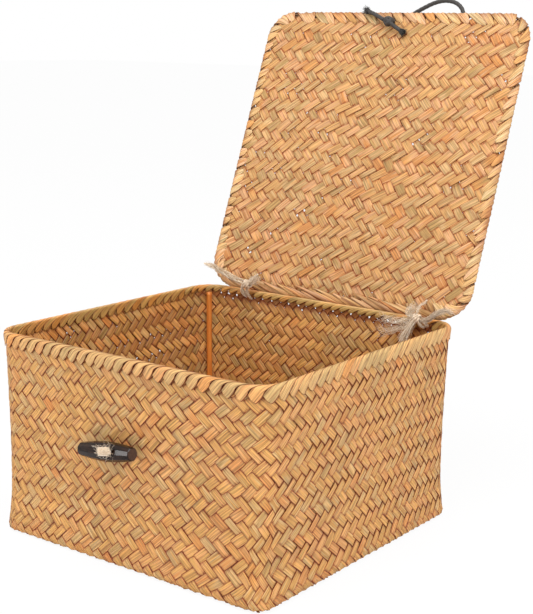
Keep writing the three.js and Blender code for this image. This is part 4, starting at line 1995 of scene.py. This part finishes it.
@dataclass(frozen=True)
class Toggle:
    """A faceted horn barrel, tied to the front wall by twine through its middle."""

    length: float = 51.4
    diameter: float = 14.8
    facets: int = 10
    per_facet: int = 6
    bevel: float = 0.992
    shift: float = -5.6
    height: float = 92.3
    wall_y: float = -127.05
    y: float = -136.1
    tilt: float = 6.9
    tie_diameter: float = 2.4
    tie_inside: float = 5.9
    tuft: Bundle = Bundle(
        240, wide=0.8, deep=2.7, flare=1.0, curl=0.9, ragged=0.3, thickness=0.5, steps=12, tone=0.5
    )
    strays: Bundle = Bundle(
        16, wide=1.6, deep=3.4, flare=1.5, curl=7, ragged=0.2, thickness=0.15, steps=30
    )

    ALONG = (-1, -1, -0.97, -0.55, -0.16, 0.16, 0.55, 0.97, 1, 1)
    WIDE = (0, 0.62, 0.7, 0.89, 1, 1, 0.89, 0.7, 0.62, 0)
    TUFT = ((-6, -144.5, 94.6), (-2, -145.1, 95.3), (2.4, -145.2, 96.3), (6.6, -144.7, 97.1))

    def section(self) -> tuple[Array, Array]:
        """Works out the barrel's section: a polygon whose corners are cut by a circle.

        Each long facet so ends in narrow bevels.

        Returns:
            Angle of each point and its distance from the middle.
        """
        number = np.arange(self.facets * self.per_facet)
        step = 2 * math.pi / self.facets
        share = (number % self.per_facet) / self.per_facet
        share = np.select([share < 0.3, share > 0.7], [share / 4, 1 - (1 - share) / 4], share)
        angle = (number // self.per_facet + share) * step
        flat = math.cos(step / 2) / np.cos(np.mod(angle, step) - step / 2)
        return angle, np.minimum(flat, self.bevel) * self.diameter / 2

    def barrel(self, material: Material, ends: Material) -> None:
        """Makes the barrel, which narrows straight from its thick middle to its blunt sawn ends.

        Args:
            material: Its finish.
            ends: Finish of its ends.
        """
        angle, section = self.section()
        along = np.array(self.ALONG) * self.length / 2
        wide = np.maximum(np.array(self.WIDE), 0.01)
        x = np.broadcast_to(along[:, None], (len(along), len(angle)))
        y = wide[:, None] * section * np.cos(angle)
        z = wide[:, None] * section * np.sin(angle)
        cos, sin = math.cos(math.radians(self.tilt)), math.sin(math.radians(self.tilt))
        leant = np.stack([x * cos - z * sin, y, x * sin + z * cos], -1)
        points = leant + np.array([self.shift, self.y, self.height])
        piece = sheaths("toggle_barrel", points[None], smooth=False)
        dress(piece, material, "toggle", ("toggle",))
        piece.data.materials.append(ends)
        rings = np.arange(len(piece.data.polygons)) // len(angle)
        sawn = (rings == 0) | (rings >= len(along) - 2)
        piece.data.polygons.foreach_set("material_index", sawn.astype(np.int32))

    def tie(self, jute: Material, cut: Material) -> None:
        """Makes the twine through the barrel, brushed out to a flat tuft in front of it.

        Args:
            jute: Finish of the twine.
            cut: Finish of the tuft.
        """
        front = self.y - self.diameter / 2 - 0.6
        y = np.linspace(self.wall_y + self.tie_inside, front, 40)
        path = np.stack([np.full_like(y, self.shift), y, np.full_like(y, self.height)], -1)
        stem = Twine(self.tie_diameter, 7).build("toggle_tie_twine", path)
        dress(stem, jute, "basket", ("toggle_tie",))
        tuft_path = smooth_path(self.TUFT, 30)
        dress(self.tuft.build("toggle_tuft", tuft_path, 71), cut, "basket")
        middle = tuft_path.mean(0)
        above = 1.5 * (tuft_path - middle) + middle + np.array([0, -0.4, 1.4])
        dress(self.strays.build("toggle_strays", above, 72), cut, "basket")


# Camera, light and floor


@dataclass(frozen=True)
class Studio:
    """Camera at the photograph's viewpoint, pale floor and soft lights."""

    camera_place: tuple[float, float, float] = (0.6264, -0.7786, 0.3895)
    yaw: float = -0.6331
    pitch: float = 0.2155
    roll: float = 0.0175
    focal: float = 1293.53
    centre_x: float = 288.21
    centre_y: float = 316.80
    image: tuple[int, int] = (533, 614)
    sensor: float = 36
    aim: tuple[float, float, float] = (0.0, 0.0, 0.15)
    ambient: float = 0.84
    floor_glow: float = 0.93
    floor_tone: float = 0.86
    floor_reach: float = 12000
    floor_drop: float = 0.2

    WHITE = (1, 1, 1, 1)
    LAMPS = (
        ("key_lamp", (-0.89, -1.66, 0.46), 0.3, 4.2),
        ("side_lamp", (1.9, -0.7, 1.2), 1.2, 17),
        ("top_lamp", (0.2, -0.6, 2.2), 1.2, 28),
    )

    def camera(self) -> None:
        """Makes the camera from its place, its three turns, and its focal length in pixels."""
        cos, sin = math.cos(self.yaw), math.sin(self.yaw)
        level, down = math.cos(self.pitch), math.sin(self.pitch)
        ahead = np.array([sin * level, cos * level, -down])
        right = np.array([cos, -sin, 0])
        up = np.cross(right, ahead)
        cos, sin = math.cos(self.roll), math.sin(self.roll)
        right, up = right * cos + up * sin, up * cos - right * sin
        largest = max(self.image)
        data = bpy.data.cameras.new("camera")
        data.sensor_width = self.sensor
        data.lens = self.focal / largest * self.sensor
        data.shift_x = (self.image[0] / 2 - self.centre_x) / largest
        data.shift_y = (self.centre_y - self.image[1] / 2) / largest
        data.clip_start, data.clip_end = 0.05, 50
        camera = bpy.data.objects.new("camera", data)
        bpy.context.scene.collection.objects.link(camera)
        turned = Matrix(np.stack([right, up, -ahead], 1).tolist()).to_4x4()
        turned.translation = self.camera_place
        camera.matrix_world = turned
        bpy.context.scene.camera = camera

    def lamp(self, name: str, place: tuple[float, float, float], size: float, power: float) -> None:
        """Adds one square soft lamp that faces the box.

        Args:
            name: Name of the lamp.
            place: Its place in metres.
            size: Its width in metres.
            power: Its power in watts.
        """
        data = bpy.data.lights.new(name, "AREA")
        data.shape, data.size, data.energy = "SQUARE", size, power
        lamp = bpy.data.objects.new(name, data)
        bpy.context.scene.collection.objects.link(lamp)
        lamp.location = place
        lamp.rotation_mode = "QUATERNION"
        aim = Vector(np.subtract(self.aim, place))
        lamp.rotation_quaternion = aim.to_track_quat("-Z", "Y")

    @staticmethod
    def seen(nodes: Nodes) -> Socket:
        """Adds a share that is one for camera, mirror and glass rays, and nought for others.

        Args:
            nodes: Tree that gets it.

        Returns:
            The share.
        """
        path = nodes.add("LightPath")
        share = path.outputs["Is Camera Ray"]
        for kind in ("Is Glossy Ray", "Is Transmission Ray"):
            share = nodes.formula("MAXIMUM", share, path.outputs[kind])
        return share

    def world(self) -> None:
        """Makes the world: the camera and reflections see white, other rays a softer white."""
        world = bpy.data.worlds.new("studio")
        bpy.context.scene.world = world
        world.use_nodes = True
        nodes = Nodes(world.node_tree)
        nodes.tree.nodes.clear()
        soft, white = (
            nodes.add("Background", {"Color": self.WHITE, "Strength": strength}).outputs[0]
            for strength in (self.ambient, 1.0)
        )
        mixed = nodes.add("MixShader", {0: self.seen(nodes), 1: soft, 2: white})
        nodes.add("OutputWorld", {"Surface": mixed.outputs[0]})

    def floor(self) -> None:
        """Makes the floor.

        The camera and reflections see white; other rays see plain diffuse white, so the floor
        keeps the box's shadow.
        """
        paint = Paint("paper_white_floor")
        glow = paint.add("Emission", {"Color": self.WHITE, "Strength": 1.0}).outputs[0]
        share = paint.formula("MULTIPLY", self.seen(paint), self.floor_glow)
        mixed = paint.add("MixShader", {0: share, 1: paint.shader.outputs[0], 2: glow})
        paint.fill(paint.tree.nodes["Material Output"], {"Surface": mixed.outputs[0]})
        material = paint.done({"Base Color": (*[self.floor_tone] * 3, 1), "Roughness": 0.9})
        corners = np.array([[-1, -1, 0], [1, -1, 0], [1, 1, 0], [-1, 1, 0]]) * self.floor_reach
        corners = corners - np.array([0, 0, self.floor_drop])
        floor = mesh_object("floor", corners, np.arange(4), np.array([0]), smooth=False)
        floor.data.materials.append(material)

    def build(self) -> None:
        """Sets up the camera, the lights, the world and the floor."""
        self.camera()
        for lamp in self.LAMPS:
            self.lamp(*lamp)
        self.world()
        self.floor()
        bpy.context.scene.view_settings.view_transform = "Standard"


def main() -> None:
    """Builds the camera and cords first, then the basket, the lid and the rest."""
    logging.basicConfig(level=logging.INFO, format="%(name)s: %(message)s")
    Studio().build()
    jute = JUTE.build()
    ClosingLoop().build(LOOP_CORD.build())
    HingeTies().build(jute, BRUSHED_JUTE.build())
    wall, lid_finish, wire = WALL_SEDGE.build(), LID_SEDGE.build(), WIRE.build()
    basket = Basket()
    basket.walls(wall)
    basket.floor(wall)
    basket.rim(BORDER_SEDGE.build())
    basket.hoop(wire)
    basket.stakes(CANE.build())
    lid = Lid()
    lid.mat(lid_finish)
    lid.edge(lid_finish)
    lid.hoop(wire)
    toggle = Toggle()
    toggle.barrel(HORN.build(), SAWN_HORN.build())
    toggle.tie(jute, CUT_JUTE.build())


if __name__ == "__main__":
    main()
